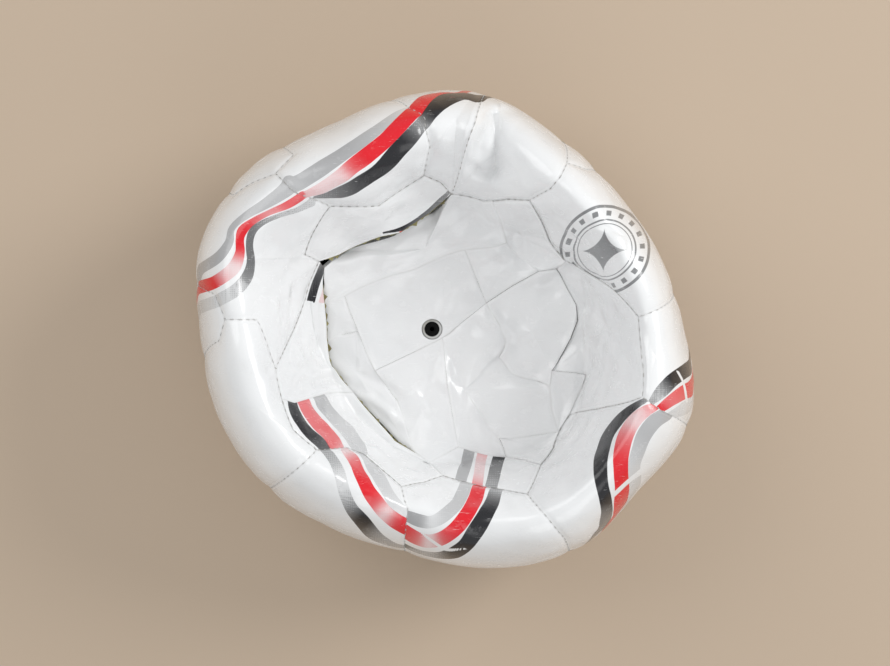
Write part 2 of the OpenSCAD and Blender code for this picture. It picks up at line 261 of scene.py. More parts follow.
@dataclass
class BodyForm:
    """The ball's body with its hollow, in mm: the same sections and formulas that the panels were built on.

    Each row of sections has the outline's radius, then radius and height of the crest and of the fold. A
    point above hollow_above and within brow_share of the way from crest to outline is on top, where its
    radius gives its direction. The others take the nearest of turn_steps turns from turn_from down.
    """

    belly: float = 60.0
    rest_r: float = 36.0
    floor_h: float = 53.0
    swell: float = 1.15
    reach: float = 0.05
    steep: float = 0.9
    eye_h: float = 1000.0
    eye_y: float = -1.8
    turn_above: float = 38.0
    turn_over: float = 18.0
    hollow_above: float = 40.0
    brow_share: float = 0.35
    turn_from: float = 0.3
    turn_steps: int = 900
    sections: np.ndarray = field(default_factory=lambda: np.array([
        [108, 88, 120, 64, 62], [102, 84, 122, 66, 64], [99, 80, 122, 62, 68],
        [101, 82, 118, 52, 70], [108, 88, 113, 56, 74], [107, 86, 116, 56, 76],
        [106, 82, 120, 50, 72], [114, 90, 120, 58, 68], [117, 96, 118, 64, 64],
        [111, 88, 120, 60, 60], [110, 86, 121, 56, 58], [108, 84, 120, 56, 58],
        [104, 80, 116, 58, 60], [103, 80, 112, 62, 62], [110, 86, 112, 60, 60],
        [116, 92, 118, 68, 58], [114, 92, 122, 72, 58], [118, 92, 124, 68, 60],
    ], float))

    def section(self, az: np.ndarray) -> np.ndarray:
        """The section at each azimuth in radians, as rows of five numbers.

        Args:
            az: Azimuths in radians.

        Returns:
            Rows of outer radius, crest radius, crest height, fold radius and fold height, in mm.
        """
        n = len(self.sections)
        turn = (az / (2 * math.pi) * n) % n
        i = np.floor(turn).astype(int)
        t = (turn - i)[:, None]
        a, b, c, d = (self.sections[(i + j) % n] for j in (-1, 0, 1, 2))
        return between(a, b, c, d, t)

    def upper(self, r: np.ndarray, s: np.ndarray) -> np.ndarray:
        """Height of the upper side at radius r in section s.

        Args:
            r: Radii in mm.
            s: The sections there, as section's rows.

        Returns:
            Heights in mm.
        """
        out, crest, crest_h, fold, fold_h = s.T
        floor = self.floor_h + (fold_h - self.floor_h) * (r / fold) ** 2
        rise = np.sin(np.clip((r - fold) / (crest - fold), 0, 1) * math.pi / 2) ** self.swell
        wall = fold_h + (crest_h - fold_h) * rise
        t = np.clip((r - crest) / (out - crest), 0, 1)
        brow = self.belly + (crest_h - self.belly) * np.sqrt(1 - t * t)
        return np.where(r < fold, floor, np.where(r < crest, wall, brow))

    def lower(self, r: np.ndarray, s: np.ndarray) -> np.ndarray:
        """Height of the lower side at radius r in section s."""
        t = np.clip((r - self.rest_r) / (s[:, 0] - self.rest_r), 0, 1)
        return self.belly * (1 - np.sqrt(1 - t * t))

    def skin(self, u: np.ndarray) -> np.ndarray:
        """The body's points in the directions u.

        Args:
            u: (n, 3) unit directions.

        Returns:
            (n, 3) points in mm.
        """
        s = self.section(np.arctan2(u[:, 1], u[:, 0]))
        level = u[:, :2] * s[:, :1]
        r = np.linalg.norm(level, axis=1)
        z = np.where(u[:, 2] >= 0, self.upper(r, s), self.lower(r, s))
        return np.column_stack([level, z])

    def normal(self, u: np.ndarray) -> np.ndarray:
        """The body's outward normals in the directions u.

        Args:
            u: (n, 3) unit directions.

        Returns:
            (n, 3) unit normals.
        """
        pole = np.where(np.abs(u[:, 2:]) > self.steep, [[0.0, 1.0, 0.0]], [[0.0, 0.0, 1.0]])
        e1 = unit(np.cross(pole, u))
        e2 = np.cross(u, e1)
        step = self.reach
        one = self.skin(unit(u + step * e1)) - self.skin(unit(u - step * e1))
        two = self.skin(unit(u + step * e2)) - self.skin(unit(u - step * e2))
        return unit(np.cross(one, two))

    def direction(self, points: np.ndarray) -> np.ndarray:
        """The directions whose points on the body are nearest to the given points.

        Args:
            points: (n, 3) points in mm.

        Returns:
            (n, 3) unit directions.
        """
        az = np.arctan2(points[:, 1], points[:, 0])
        s = self.section(az)
        r = np.linalg.norm(points[:, :2], axis=1)
        share = np.clip(r / s[:, 0], 0, 1)
        up = np.ones(len(points))
        top = (points[:, 2] > self.hollow_above) & (r < s[:, 1] + self.brow_share * (s[:, 0] - s[:, 1]))
        turn = np.linspace(self.turn_from, math.pi, self.turn_steps)
        ring, sign = np.sin(turn), np.where(turn <= math.pi / 2, 1.0, -1.0)
        for i in np.flatnonzero(~top):
            row = np.repeat(s[i:i + 1], len(turn), 0)
            rr = ring * s[i, 0]
            zz = np.where(sign > 0, self.upper(rr, row), self.lower(rr, row))
            keep = (sign < 0) | (rr > s[i, 1])
            far = np.where(keep, (rr - r[i]) ** 2 + (zz - points[i, 2]) ** 2, HUGE)
            k = int(np.argmin(far))
            share[i], up[i] = ring[k], sign[k]
        return np.column_stack([share * np.cos(az), share * np.sin(az), up * np.sqrt(1 - share ** 2)])

    def seen(self, points: np.ndarray, u: np.ndarray) -> np.ndarray:
        """Where points lie as seen from above, in mm at table height; the steep side runs on outward.

        Args:
            points: (n, 3) points in mm.
            u: Their unit directions.

        Returns:
            (n, 2) places in mm.
        """
        s = self.section(np.arctan2(points[:, 1], points[:, 0]))
        upper = (u[:, 2] >= 0)[:, None]
        scale = self.eye_h / (self.eye_h - points[:, 2])
        flat = np.column_stack([points[:, 0], points[:, 1] - self.eye_y]) * scale[:, None]
        rim = unit(points[:, :2]) * (s[:, :1] * self.eye_h / (self.eye_h - self.belly)) + [0, -self.eye_y]
        drop = np.maximum(0, self.belly + self.turn_above - points[:, 2])
        drop = np.where(drop < self.turn_over, drop ** 2 / (2 * self.turn_over), drop - self.turn_over / 2)
        outer = np.linalg.norm(points[:, :2], axis=1) > s[:, 1]
        run = (drop * (outer | ~upper[:, 0]))[:, None] * unit(points[:, :2])
        return np.where(upper, flat, rim) + run


@dataclass
class Lip:
    """A panel's seam line, anticlockwise from outside: directions, and offsets from the skin in mm."""

    node: str
    u: np.ndarray
    offset: np.ndarray
    middle_u: np.ndarray
    middle_offset: np.ndarray
    points: np.ndarray = field(default_factory=lambda: np.zeros((0, 3)))

    def hidden(self) -> bool:
        """Whether the panel is on the lower side, which gets coarser steps."""
        return "under" in self.node or "base" in self.node


@dataclass
class LipReader:
    """Reads a panel's lip and middle from its CAD node, which is a fan of rings round its middle.

    All sizes are in mm. Faces count as upright by their normal's height, and the valve panel's outer rim is
    farther than rim_r from the valve. Floor lips are counted as low between the two depths of low.
    """

    body: BodyForm
    groove: float = 0.7
    merge: float = 0.002
    step: float = 1.5
    under_step: float = 3.5
    upright: float = 0.5
    rim_r: float = 7.0
    gaping: str = "panel_floor_top"
    settle: float = 0.25
    shut_settle: float = 0.1
    low: Pair = (0.6, 2.0)
    tuck: float = 3.0
    tuck_below: float = 80.0

    def merged(self, node: str) -> tuple[np.ndarray, list[Numbers]]:
        """A node's points in mm and its triangles, with equal points made one.

        Args:
            node: The CAD node's name.

        Returns:
            (n, 3) points and the triangles as tuples of three indices.
        """
        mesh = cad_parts[node].data
        points = np.array([v.co for v in mesh.vertices]) / MM
        numbers: dict[Numbers, int] = {}
        cells = np.round(points / self.merge).astype(int).tolist()
        which = [numbers.setdefault(tuple(cell), len(numbers)) for cell in cells]
        faces = [tuple(which[i] for i in f.vertices) for f in mesh.polygons]
        firsts = np.unique(which, return_index=True)[1]
        return points[firsts], [f for f in faces if len(set(f)) == len(f)]

    def loop(self, edges: list[tuple[int, int]]) -> list[int]:
        """The points of a closed loop of edges, in order.

        Args:
            edges: Pairs of point numbers that close into one loop.

        Returns:
            The point numbers, each once.
        """
        near: dict[int, list[int]] = {}
        for a, b in edges:
            near.setdefault(a, []).append(b)
            near.setdefault(b, []).append(a)
        out = [edges[0][0]]
        here = near[out[0]][0]
        while here != out[0] and len(out) <= len(near):
            out.append(here)
            here = next(k for k in near[here] if k != out[-2])
        return out

    def ring_lip(self, points: np.ndarray, faces: list[Numbers]) -> tuple[list[int], int]:
        """The lip's points in order, halfway in rings from the front's middle to the back's.

        Args:
            points: The panel's points in mm.
            faces: Its triangles.

        Returns:
            The lip's point numbers and the front's middle one.
        """
        near: dict[int, set[int]] = {}
        for f in faces:
            for a in f:
                near.setdefault(a, set()).update(f)
        hearts = sorted(near, key=lambda k: -len(near[k]))[:2]
        u = self.body.direction(points[hearts])
        outward = self.body.normal(u)[0]
        front = hearts[0] if (points[hearts[0]] - points[hearts[1]]) @ outward > 0 else hearts[1]
        layer = {front: 0}
        reached = [front]
        for a in reached:
            for b in near[a]:
                if b not in layer:
                    layer[b] = layer[a] + 1
                    reached.append(b)
        level = max(layer.values()) // 2
        edges = {(a, b) for f in faces for a in f for b in f if a < b and layer[a] == layer[b] == level}
        return self.loop(sorted(edges)), front

    def band_lip(self, points: np.ndarray, faces: list[Numbers]) -> list[int]:
        """The lip's points in order for the panel with the valve's hole, from its upright rim's faces.

        Args:
            points: The panel's points in mm.
            faces: Its triangles.

        Returns:
            The lip's point numbers.
        """
        sides: dict[Numbers, list[str]] = {}
        for f in faces:
            a, b, c = points[list(f)]
            n = unit(np.cross(b - a, c - a))
            far = np.linalg.norm((a + b + c)[:2] / 3 - VALVE_AT)
            if abs(n[2]) < self.upright:
                kind = "rim" if far > self.rim_r else "hole"
            else:
                kind = "up" if n[2] > 0 else "down"
            for i in range(3):
                sides.setdefault(tuple(sorted((f[i], f[(i + 1) % 3]))), []).append(kind)
        return self.loop([e for e, k in sides.items() if sorted(k) == ["rim", "up"]])

    def lifted(self, lip: np.ndarray, near: np.ndarray) -> tuple[np.ndarray, np.ndarray]:
        """The lip out of its groove, along the body's normals near the given points, and their directions."""
        u = self.body.direction(near)
        return lip + self.groove * self.body.normal(u), u

    def settled(self, node: str, offset: np.ndarray, points: np.ndarray, middle: np.ndarray) -> np.ndarray:
        """A floor panel's offsets with its low lip raised, and tucked in under the next panel.

        Args:
            node: The panel's name.
            offset: (n, 3) offsets of the lip from the body.
            points: The lip's points.
            middle: The panel's middle.

        Returns:
            The new offsets.
        """
        low = smooth(-offset[:, 2], *self.low)[:, None] * (points[:, 2:] < self.tuck_below)
        settle = self.settle if node == self.gaping else self.shut_settle
        rise = offset[:, 2] * np.where(offset[:, 2] < 0, settle, 1.0)
        return np.column_stack([offset[:, :2] + self.tuck * low * unit((points - middle)[:, :2]), rise])

    def read(self, node: str) -> Lip:
        """Read one panel's lip.

        Args:
            node: The CAD node's name.

        Returns:
            The lip, cut to short steps.
        """
        points, faces = self.merged(node)
        if node == VALVE_PANEL:
            order = self.band_lip(points, faces)
            middle = np.array([*VALVE_AT, self.body.floor_h])
        else:
            order, front = self.ring_lip(points, faces)
            middle = points[front]
        lip = points[order]
        lifted, _ = self.lifted(lip, lip)
        lifted, u = self.lifted(lip, lifted)
        middle_u = self.body.direction(middle[None])
        turn = np.cross(lifted - middle, np.roll(lifted, -1, 0) - middle).sum(0)
        if turn @ self.body.normal(middle_u)[0] < 0:
            u, lifted = u[::-1], lifted[::-1]
        offset = lifted - self.body.skin(u)
        if "floor" in node:
            offset = self.settled(node, offset, lifted, middle)
        out = Lip(node, u, offset, middle_u[0], middle - self.body.skin(middle_u)[0])
        return self.cut(out, lifted)

    def cut(self, lip: Lip, points: np.ndarray) -> Lip:
        """The lip with more places between its corners, at about the step from each other.

        Args:
            lip: The lip with a place at each corner.
            points: Its corners in mm.

        Returns:
            The same lip with the places between them too.
        """
        step = self.under_step if lip.hidden() else self.step
        us, offsets = [], []
        for i in range(len(points)):
            j = (i + 1) % len(points)
            n = max(1, math.ceil(np.linalg.norm(points[i] - points[j]) / step))
            t = (np.arange(n) / n)[:, None]
            us.append(unit(lip.u[i] * (1 - t) + lip.u[j] * t))
            offsets.append(lip.offset[i] * (1 - t) + lip.offset[j] * t)
        return Lip(lip.node, np.vstack(us), np.vstack(offsets), lip.middle_u, lip.middle_offset)


@dataclass
class Relief:
    """All that presses or lifts the skin: creases, broad domes, ripples, crumples and dimples, in mm.

    Each kind's waves are its shortest and longest wave, and its mix says how it takes part outside and inside
    the hollow, whose edge lies between the two radii of hollow. Crumples and dimples fade out at a lip.
    """

    creases: list[Crease]
    domes: list[tuple[float, float, float, float]]
    hollow: Pair = (70.0, 92.0)
    ripple: float = 0.30
    ripple_waves: Pair = (22.0, 60.0)
    ripple_mix: Pair = (0.5, 1.3)
    crumple: float = 0.48
    crumple_waves: Pair = (14.0, 34.0)
    crumple_fine_waves: Pair = (7.0, 18.0)
    crumple_shares: Pair = (0.8, 0.15)
    crumple_fade: float = 5.0
    dimple: float = 0.22
    dimple_waves: Pair = (9.0, 20.0)
    dimple_mix: Pair = (0.35, 1.0)
    dimple_fade: float = 4.0
    lift_fade: float = 7.0
    waves: int = 22

    def field_of(self, points: np.ndarray, lengths: Pair, seed: int) -> np.ndarray:
        """A smooth uneven field of about -1 to 1, made of waves between two lengths in mm.

        Args:
            points: The points in mm.
            lengths: The shortest and the longest wave.
            seed: The field's own seed.

        Returns:
            A value for each point.
        """
        short, long = lengths
        rng = np.random.default_rng(SEED + seed)
        total = np.zeros(len(points))
        for _ in range(self.waves):
            way = unit(rng.normal(size=3))
            size = short * (long / short) ** rng.random()
            total += np.sin(points @ way * (2 * math.pi / size) + rng.random() * 2 * math.pi)
        return total / math.sqrt(self.waves)

    def creased(self, node: str, u: np.ndarray, seen: np.ndarray, upright: bool) -> np.ndarray:
        """How far a panel's upright creases, or its other ones, move each point of the upper side.

        Args:
            node: The panel's name.
            u: The points' unit directions.
            seen: Where they lie as seen from above.
            upright: Whether the upright creases are asked for.

        Returns:
            A move in mm for each point.
        """
        out = np.zeros(len(seen))
        for crease in self.creases:
            if node.startswith(crease.panels) and crease.upright == upright:
                out += crease.profile(seen)
        return out * (u[:, 2] >= 0)

    def lift(self, node: str, u: np.ndarray, seen: np.ndarray, edge: np.ndarray) -> np.ndarray:
        """How far the upright creases move each point straight up, in mm; they fade out at the lip."""
        return self.creased(node, u, seen, True) * smooth(edge, 0, self.lift_fade)

    def at(self, node: str, points: np.ndarray, u: np.ndarray, seen: np.ndarray,
           edge: np.ndarray) -> np.ndarray:
        """How far to move each point along its normal.

        Args:
            node: The panel's name.
            points: (n, 3) points in mm.
            u: Their directions.
            seen: Their places as seen from above.
            edge: Their distances from the panel's lip.

        Returns:
            n offsets in mm.
        """
        top = u[:, 2] >= 0
        out = self.creased(node, u, seen, False)
        for x, y, r, height in self.domes:
            far = np.linalg.norm(seen - (x, y), axis=1)
            out += height * np.exp(-((far / r) ** 2)) * top
        inner = (1 - smooth(np.linalg.norm(points[:, :2], axis=1), *self.hollow)) * top
        least, more = self.ripple_mix
        out += self.ripple * (least + more * inner) * self.field_of(points, self.ripple_waves, 1)
        long, short = self.crumple_shares
        ridges = long * (1 - np.abs(self.field_of(points, self.crumple_waves, 2)))
        ridges += short * (1 - np.abs(self.field_of(points, self.crumple_fine_waves, 3)))
        out += self.crumple * inner * ridges * smooth(edge, 0, self.crumple_fade)
        least, more = self.dimple_mix
        dimples = self.dimple * (least + more * inner) * self.field_of(points, self.dimple_waves, 4)
        return out + dimples * smooth(edge, 0, self.dimple_fade)


@dataclass(frozen=True)
class SeamForm:
    """How the skin dips to a seam: the groove's depth and width, and the panel's swell beside it, in mm."""

    groove: float
    width: float
    swell: float
    reach: float = 9.0

    def profile(self, edge: np.ndarray) -> np.ndarray:
        """How far the skin is moved at the given distances from the lip."""
        return self.swell * smooth(edge, 0, self.reach) - self.groove * np.exp(-((edge / self.width) ** 2))


@dataclass
class PanelMaker:
    """Builds the panels as closed fans of rings, with grooved seams, prints and creases, in mm.

    Toward the lip the rings stand at the insets from it, though at no more than the shares of the way to the
    middle. The back has fewer rings, at the back_rings' shares of the way. Curls lift some panels' lips.
    """

    body: BodyForm
    relief: Relief
    bands: list[Band]
    outer_seam: SeamForm = SeamForm(0.45, 1.5, 0.5)
    inner_seam: SeamForm = SeamForm(0.22, 0.9, 0.15)
    thickness: float = 2.2
    taper: float = 0.3
    ring_step: float = 1.8
    least_rings: int = 4
    insets: tuple[float, ...] = (3.2, 2.2, 1.4, 0.8, 0.35)
    shares: tuple[float, ...] = (0.3, 0.22, 0.15, 0.09, 0.04)
    back_rings: tuple[float, ...] = (0.95, 0.87, 0.78, 0.68, 0.57, 0.45, 0.32, 0.16)
    spread: float = 0.18
    rest_h: float = 0.02
    curls: dict[str, float] = field(default_factory=lambda: {
        "panel_floor_raised": 0.8, "panel_floor_tab": 0.65, "panel_floor_corner": 0.4,
        "panel_slope_pocket": 0.4})
    curl_reach: float = 3.5
    badge_at: Pair = (78.0, 40.5)
    badge_r: float = 22.0
    passes: int = 30
    sharp_angle: float = 48.0

    def grid(self, lip: Lip) -> np.ndarray:
        """The shares from the middle to the lip of every ring.

        Args:
            lip: The panel's lip.

        Returns:
            (rings, n) shares; the first ring is the middle itself, all zeros.
        """
        ends = self.body.skin(lip.u)
        far = np.linalg.norm(ends - self.body.skin(lip.middle_u[None])[0], axis=1)
        step = self.ring_step * (2 if lip.hidden() else 1)
        count = max(self.least_rings, math.ceil(far.mean() / step))
        inset = [1 - np.minimum(w / far, s) for w, s in zip(self.insets, self.shares)]
        inner = [inset[0] * k / count for k in range(count)]
        return np.array([*inner, *inset, np.ones_like(far)])

    def shape(self, lip: Lip) -> tuple[np.ndarray, np.ndarray]:
        """Directions and offsets of the whole front, with the offsets evened out between middle and lip.

        Args:
            lip: The panel's lip.

        Returns:
            Two (rings, n, 3) arrays.
        """
        t = self.grid(lip)[..., None]
        heart_u = np.broadcast_to(lip.middle_u, lip.u.shape)
        if lip.node == VALVE_PANEL:
            ring = VALVE_AT + VALVE_HOLE_R * unit(self.body.skin(lip.u)[:, :2] - VALVE_AT)
            heart_u = self.body.direction(np.column_stack([ring, np.full(len(ring), self.body.floor_h)]))
        u = unit(heart_u * (1 - t) + lip.u * t)
        offset = lip.middle_offset * (1 - t) + lip.offset * t
        for _ in range(self.passes):
            side = 0.5 * (np.roll(offset, 1, 1) + np.roll(offset, -1, 1))
            out = offset.copy()
            out[1:-1] = 0.5 * side[1:-1] + 0.25 * (offset[:-2] + offset[2:])
            out[0] = out[1].mean(0)
            offset = out
        return u, offset

    def print_fields(self, node: str, seen: np.ndarray) -> tuple[np.ndarray, np.ndarray, np.ndarray]:
        """How far inside each ink's bands the points lie, how dense the ink is, and the same for bare lines.

        Args:
            node: The panel's name.
            seen: The points as seen from above.

        Returns:
            (n, 3) distances in mm, (n, 3) densities and n distances in mm.
        """
        inside = np.full((len(seen), len(Ink)), FAR)
        density = np.ones((len(seen), len(Ink)))
        for band in self.bands:
            if not node.startswith(band.panels):
                continue
            rows = band.stretched()
            far, place = along(seen, rows[:, :2])
            k = np.minimum(place.astype(int), len(rows) - 2)
            t = (place - k)[:, None]
            half, dense = (rows[k, 2:] * (1 - t) + rows[k + 1, 2:] * t).T
            depth = half - far
            col = band.ink.value
            better = depth > inside[:, col]
            inside[better, col] = depth[better]
            density[better, col] = dense[better]
        inside = np.maximum(inside, FAR)
        bare = Ink.BARE.value
        return inside[:, :bare], density[:, :bare], inside[:, bare]

    def front(self, lip: Lip) -> tuple[np.ndarray, np.ndarray, np.ndarray, np.ndarray]:
        """Shape the front of a panel.

        Args:
            lip: The panel's lip.

        Returns:
            The points, their normals, their places as seen from above and their distances from the lip.
        """
        u, offset = (rows.reshape(-1, 3) for rows in self.shape(lip))
        n = len(lip.u)
        base = self.body.skin(u) + offset
        normal = self.body.normal(u)
        tree = search_tree(base[-n:], range(n))
        edge = np.array([tree.find(Vector(p))[2] for p in base])
        edge[-n:] = 0
        seen = self.body.seen(base, u)
        seam = self.outer_seam if "side" in lip.node or lip.hidden() else self.inner_seam
        move = self.relief.at(lip.node, base, u, seen, edge) + seam.profile(edge)
        move += self.curls.get(lip.node, 0.0) * np.exp(-((edge / self.curl_reach) ** 2))
        points = base + normal * move[:, None]
        points[:, 2] += self.relief.lift(lip.node, u, seen, edge)
        points[-n:] += self.spread * unit(points[-n:] - points[:n].mean(0))
        points[:, 2] = np.maximum(points[:, 2], self.rest_h)
        return points, normal, seen, edge

    def faces(self, n: int, total: int, holed: bool) -> list[Numbers]:
        """The faces between rings of points, from the front's middle over the lip to the back's middle.

        Args:
            n: Points in one ring.
            total: Points in the whole mesh.
            holed: Whether the first and last rings are joined round a hole, and not closed by a point each.

        Returns:
            The faces, facing outward.
        """
        i = np.arange(n)
        j = (i + 1) % n
        first = 0 if holed else 1
        starts = range(first, total - first, n)
        last = starts[-1]
        quads = [(s + i, s + n + i, s + n + j, s + j) for s in starts[:-1]]
        if holed:
            quads.append((last + i, i, j, last + j))
        out = np.vstack([np.column_stack(q) for q in quads]).tolist()
        if not holed:
            out += [(0, 1 + a, 1 + b) for a, b in zip(i, j)]
            out += [(last + a, total - 1, last + b) for a, b in zip(i, j)]
        return out

    def build(self, lip: Lip, vinyl: bpy.types.Material, backing: bpy.types.Material) -> bpy.types.Object:
        """Build one panel and store its final lip points.

        Args:
            lip: The panel's lip; its points are set.
            vinyl: The outside's material.
            backing: The cut edge's and the back's material.

        Returns:
            The panel's object.
        """
        front, normal, seen, edge = self.front(lip)
        n = len(lip.u)
        lip.points = front[-n:].copy()
        holed = lip.node == VALVE_PANEL
        heart = front[:n].mean(0)
        back = [lip.points + unit(heart - lip.points) * self.taper - normal[-n:] * self.thickness]
        for share in self.back_rings:
            k = n * round(share * (len(front) // n - 1))
            back.append(front[k:k + n] - normal[k:k + n] * self.thickness)
        if holed:
            parts = [front, *back, front[:n] - normal[:n] * self.thickness]
        else:
            inward = -self.body.normal(lip.middle_u[None])[0]
            parts = [heart, front[n:], *back, heart + inward * self.thickness]
        points = np.vstack(parts)
        mesh = bpy.data.meshes.new(lip.node + "_skin")
        mesh.from_pydata((points * MM).tolist(), [], self.faces(n, len(points), holed))
        mesh.materials.append(vinyl)
        mesh.materials.append(backing)
        skipped = 0 if holed else n - 1
        behind = len(front) - skipped + n
        inside = np.array([max(p.vertices) >= behind for p in mesh.polygons])
        mesh.polygons.foreach_set("material_index", inside.astype(np.int32))
        mesh.shade_smooth()
        mesh.set_sharp_from_angle(angle=math.radians(self.sharp_angle))
        self.paint(mesh, lip.node, seen[skipped:], edge[skipped:])
        return placed(lip.node.replace("panel_", "skin_"), mesh)

    def paint(self, mesh: bpy.types.Mesh, node: str, seen: np.ndarray, edge: np.ndarray) -> None:
        """Store the prints, the badge's place and the distance to the lip as attributes of the points.

        Args:
            mesh: The panel's mesh, with the front's points first; the points after them take resting values.
            node: The panel's name.
            seen: The front's places as seen from above.
            edge: The front's distances to the lip.
        """
        inside, density, bare = self.print_fields(node, seen)
        badge = np.full((len(seen), 3), -FAR)
        if node == "panel_side_badge":
            badge[:, :2] = (seen - self.badge_at) / self.badge_r
            badge[:, 2] = 0
        for name, values, rest in (("ink", inside, FAR), ("dense", density, 1.0), ("badge", badge, -FAR),
                                   ("bare", bare[:, None], FAR), ("lip", edge[:, None], 0.0)):
            full = np.full((len(mesh.vertices), values.shape[1]), rest, np.float32)
            full[:len(values)] = values
            kind, key = ("FLOAT_VECTOR", "vector") if values.shape[1] == 3 else ("FLOAT", "value")
            mesh.attributes.new(name, kind, "POINT").data.foreach_set(key, full.ravel())


class Wire:
    """A number on its way through a shader: arithmetic on it adds Math nodes."""

    def __init__(self, shader: "Shader", socket: bpy.types.NodeSocket) -> None:
        """Wrap an output socket of a shader's tree."""
        self.shader = shader
        self.socket = socket

    def op(self, kind: str, *others: "Wire | float") -> "Wire":
        """Join this number to others in one Math node."""
        return self.shader.node("ShaderNodeMath", {"operation": kind}, dict(enumerate([self, *others])))

    def __add__(self, other: "Wire | float") -> "Wire":
        """Sum."""
        return self.op("ADD", other)

    __radd__ = __add__

    def __sub__(self, other: "Wire | float") -> "Wire":
        """Difference."""
        return self.op("SUBTRACT", other)

    def __rsub__(self, other: "Wire | float") -> "Wire":
        """Difference from a number."""
        return self.shader.node("ShaderNodeMath", {"operation": "SUBTRACT"}, {0: other, 1: self})

    def __mul__(self, other: "Wire | float") -> "Wire":
        """Product."""
        return self.op("MULTIPLY", other)

    __rmul__ = __mul__

    def __truediv__(self, other: "Wire | float") -> "Wire":
        """Quotient."""
        return self.op("DIVIDE", other)

    def __pow__(self, other: "Wire | float") -> "Wire":
        """Power."""
        return self.op("POWER", other)

    def step(self, low: float, high: float) -> "Wire":
        """A soft step from 0 at low to 1 at high, where low may be above high.

        Args:
            low: Where the step begins.
            high: Where it ends.

        Returns:
            The step.
        """
        return self.shader.node(
            "ShaderNodeMapRange", {"interpolation_type": "SMOOTHSTEP"},
            {"Value": self, "From Min": low, "From Max": high} if low < high else
            {"Value": self, "From Min": high, "From Max": low, "To Min": 1.0, "To Max": 0.0})


class Shader:
    """A material's node tree: every node is added by one method."""

    def __init__(self, name: str) -> None:
        """Start a material with an empty tree.

        Args:
            name: The material's name.
        """
        self.material = bpy.data.materials.new(name)
        self.material.use_nodes = True
        self.tree = self.material.node_tree
        self.tree.nodes.clear()

    def node(self, kind: str, settings: dict[str, object] | None = None,
             inputs: dict[str | int, object] | None = None, out: str | int = 0) -> Wire:
        """Add a node.

        Args:
            kind: The node's type.
            settings: Its properties, set before its sockets.
            inputs: Values or wires for its input sockets.
            out: The output socket to go on with.

        Returns:
            That output.
        """
        ends = {k: v.socket if isinstance(v, Wire) else v for k, v in (inputs or {}).items()}
        return Wire(self, add_node(self.tree, kind, settings, ends).outputs[out])

    def place(self) -> Wire:
        """The object's own coordinates, in metres."""
        return self.node("ShaderNodeTexCoord", out="Object")

    def stored(self, name: str) -> Wire:
        """A number stored on the mesh."""
        return self.node("ShaderNodeAttribute", {"attribute_name": name}, out="Fac")

    def stored_xyz(self, name: str) -> list[Wire]:
        """The three numbers of a vector stored on the mesh."""
        vector = self.node("ShaderNodeAttribute", {"attribute_name": name}, out="Vector")
        return [self.node("ShaderNodeSeparateXYZ", {}, {0: vector}, out=k) for k in range(3)]

    def noise(self, where: Wire, size: float, detail: float = 2.0, rough: float = 0.5) -> Wire:
        """Noise of about 0 to 1 with features of the given size in mm."""
        return self.node("ShaderNodeTexNoise", {}, {
            "Vector": where, "Scale": 1 / (size * MM), "Detail": detail, "Roughness": rough})

    def shifted(self, where: Wire, by: Triple, stretch: Triple = (1, 1, 1), turn: Triple = (0, 0, 0)) -> Wire:
        """Coordinates moved, turned and stretched."""
        return self.node("ShaderNodeMapping", {}, {
            "Vector": where, "Location": by, "Scale": stretch, "Rotation": turn})

    def mix(self, share: Wire, a: object, b: object) -> Wire:
        """A colour between a and b."""
        return self.node("ShaderNodeMix", {"data_type": "RGBA"}, {0: share, 6: a, 7: b}, out=2)

    def bump(self, height: Wire, depth: float, below: Wire | None = None) -> Wire:
        """A bump from a height of 0 to 1 that stands for depth mm, over the bump below.

        Args:
            height: The height, from 0 to 1.
            depth: What a height of 1 stands for, in mm.
            below: The bump that this one lies on, if there is one.

        Returns:
            The bumped normal.
        """
        inputs = {"Height": height, "Distance": depth * MM}
        if below:
            inputs["Normal"] = below
        return self.node("ShaderNodeBump", {}, inputs)

    def finish(self, **inputs: object) -> bpy.types.Material:
        """End in a principled shader with the given sockets, underscores for spaces.

        Args:
            inputs: Values or links by the socket's name.

        Returns:
            The finished material.
        """
        bsdf = self.node("ShaderNodeBsdfPrincipled", {}, {k.replace("_", " "): v for k, v in inputs.items()})
        add_node(self.tree, "ShaderNodeOutputMaterial", {}, {"Surface": bsdf.socket})
        return self.material


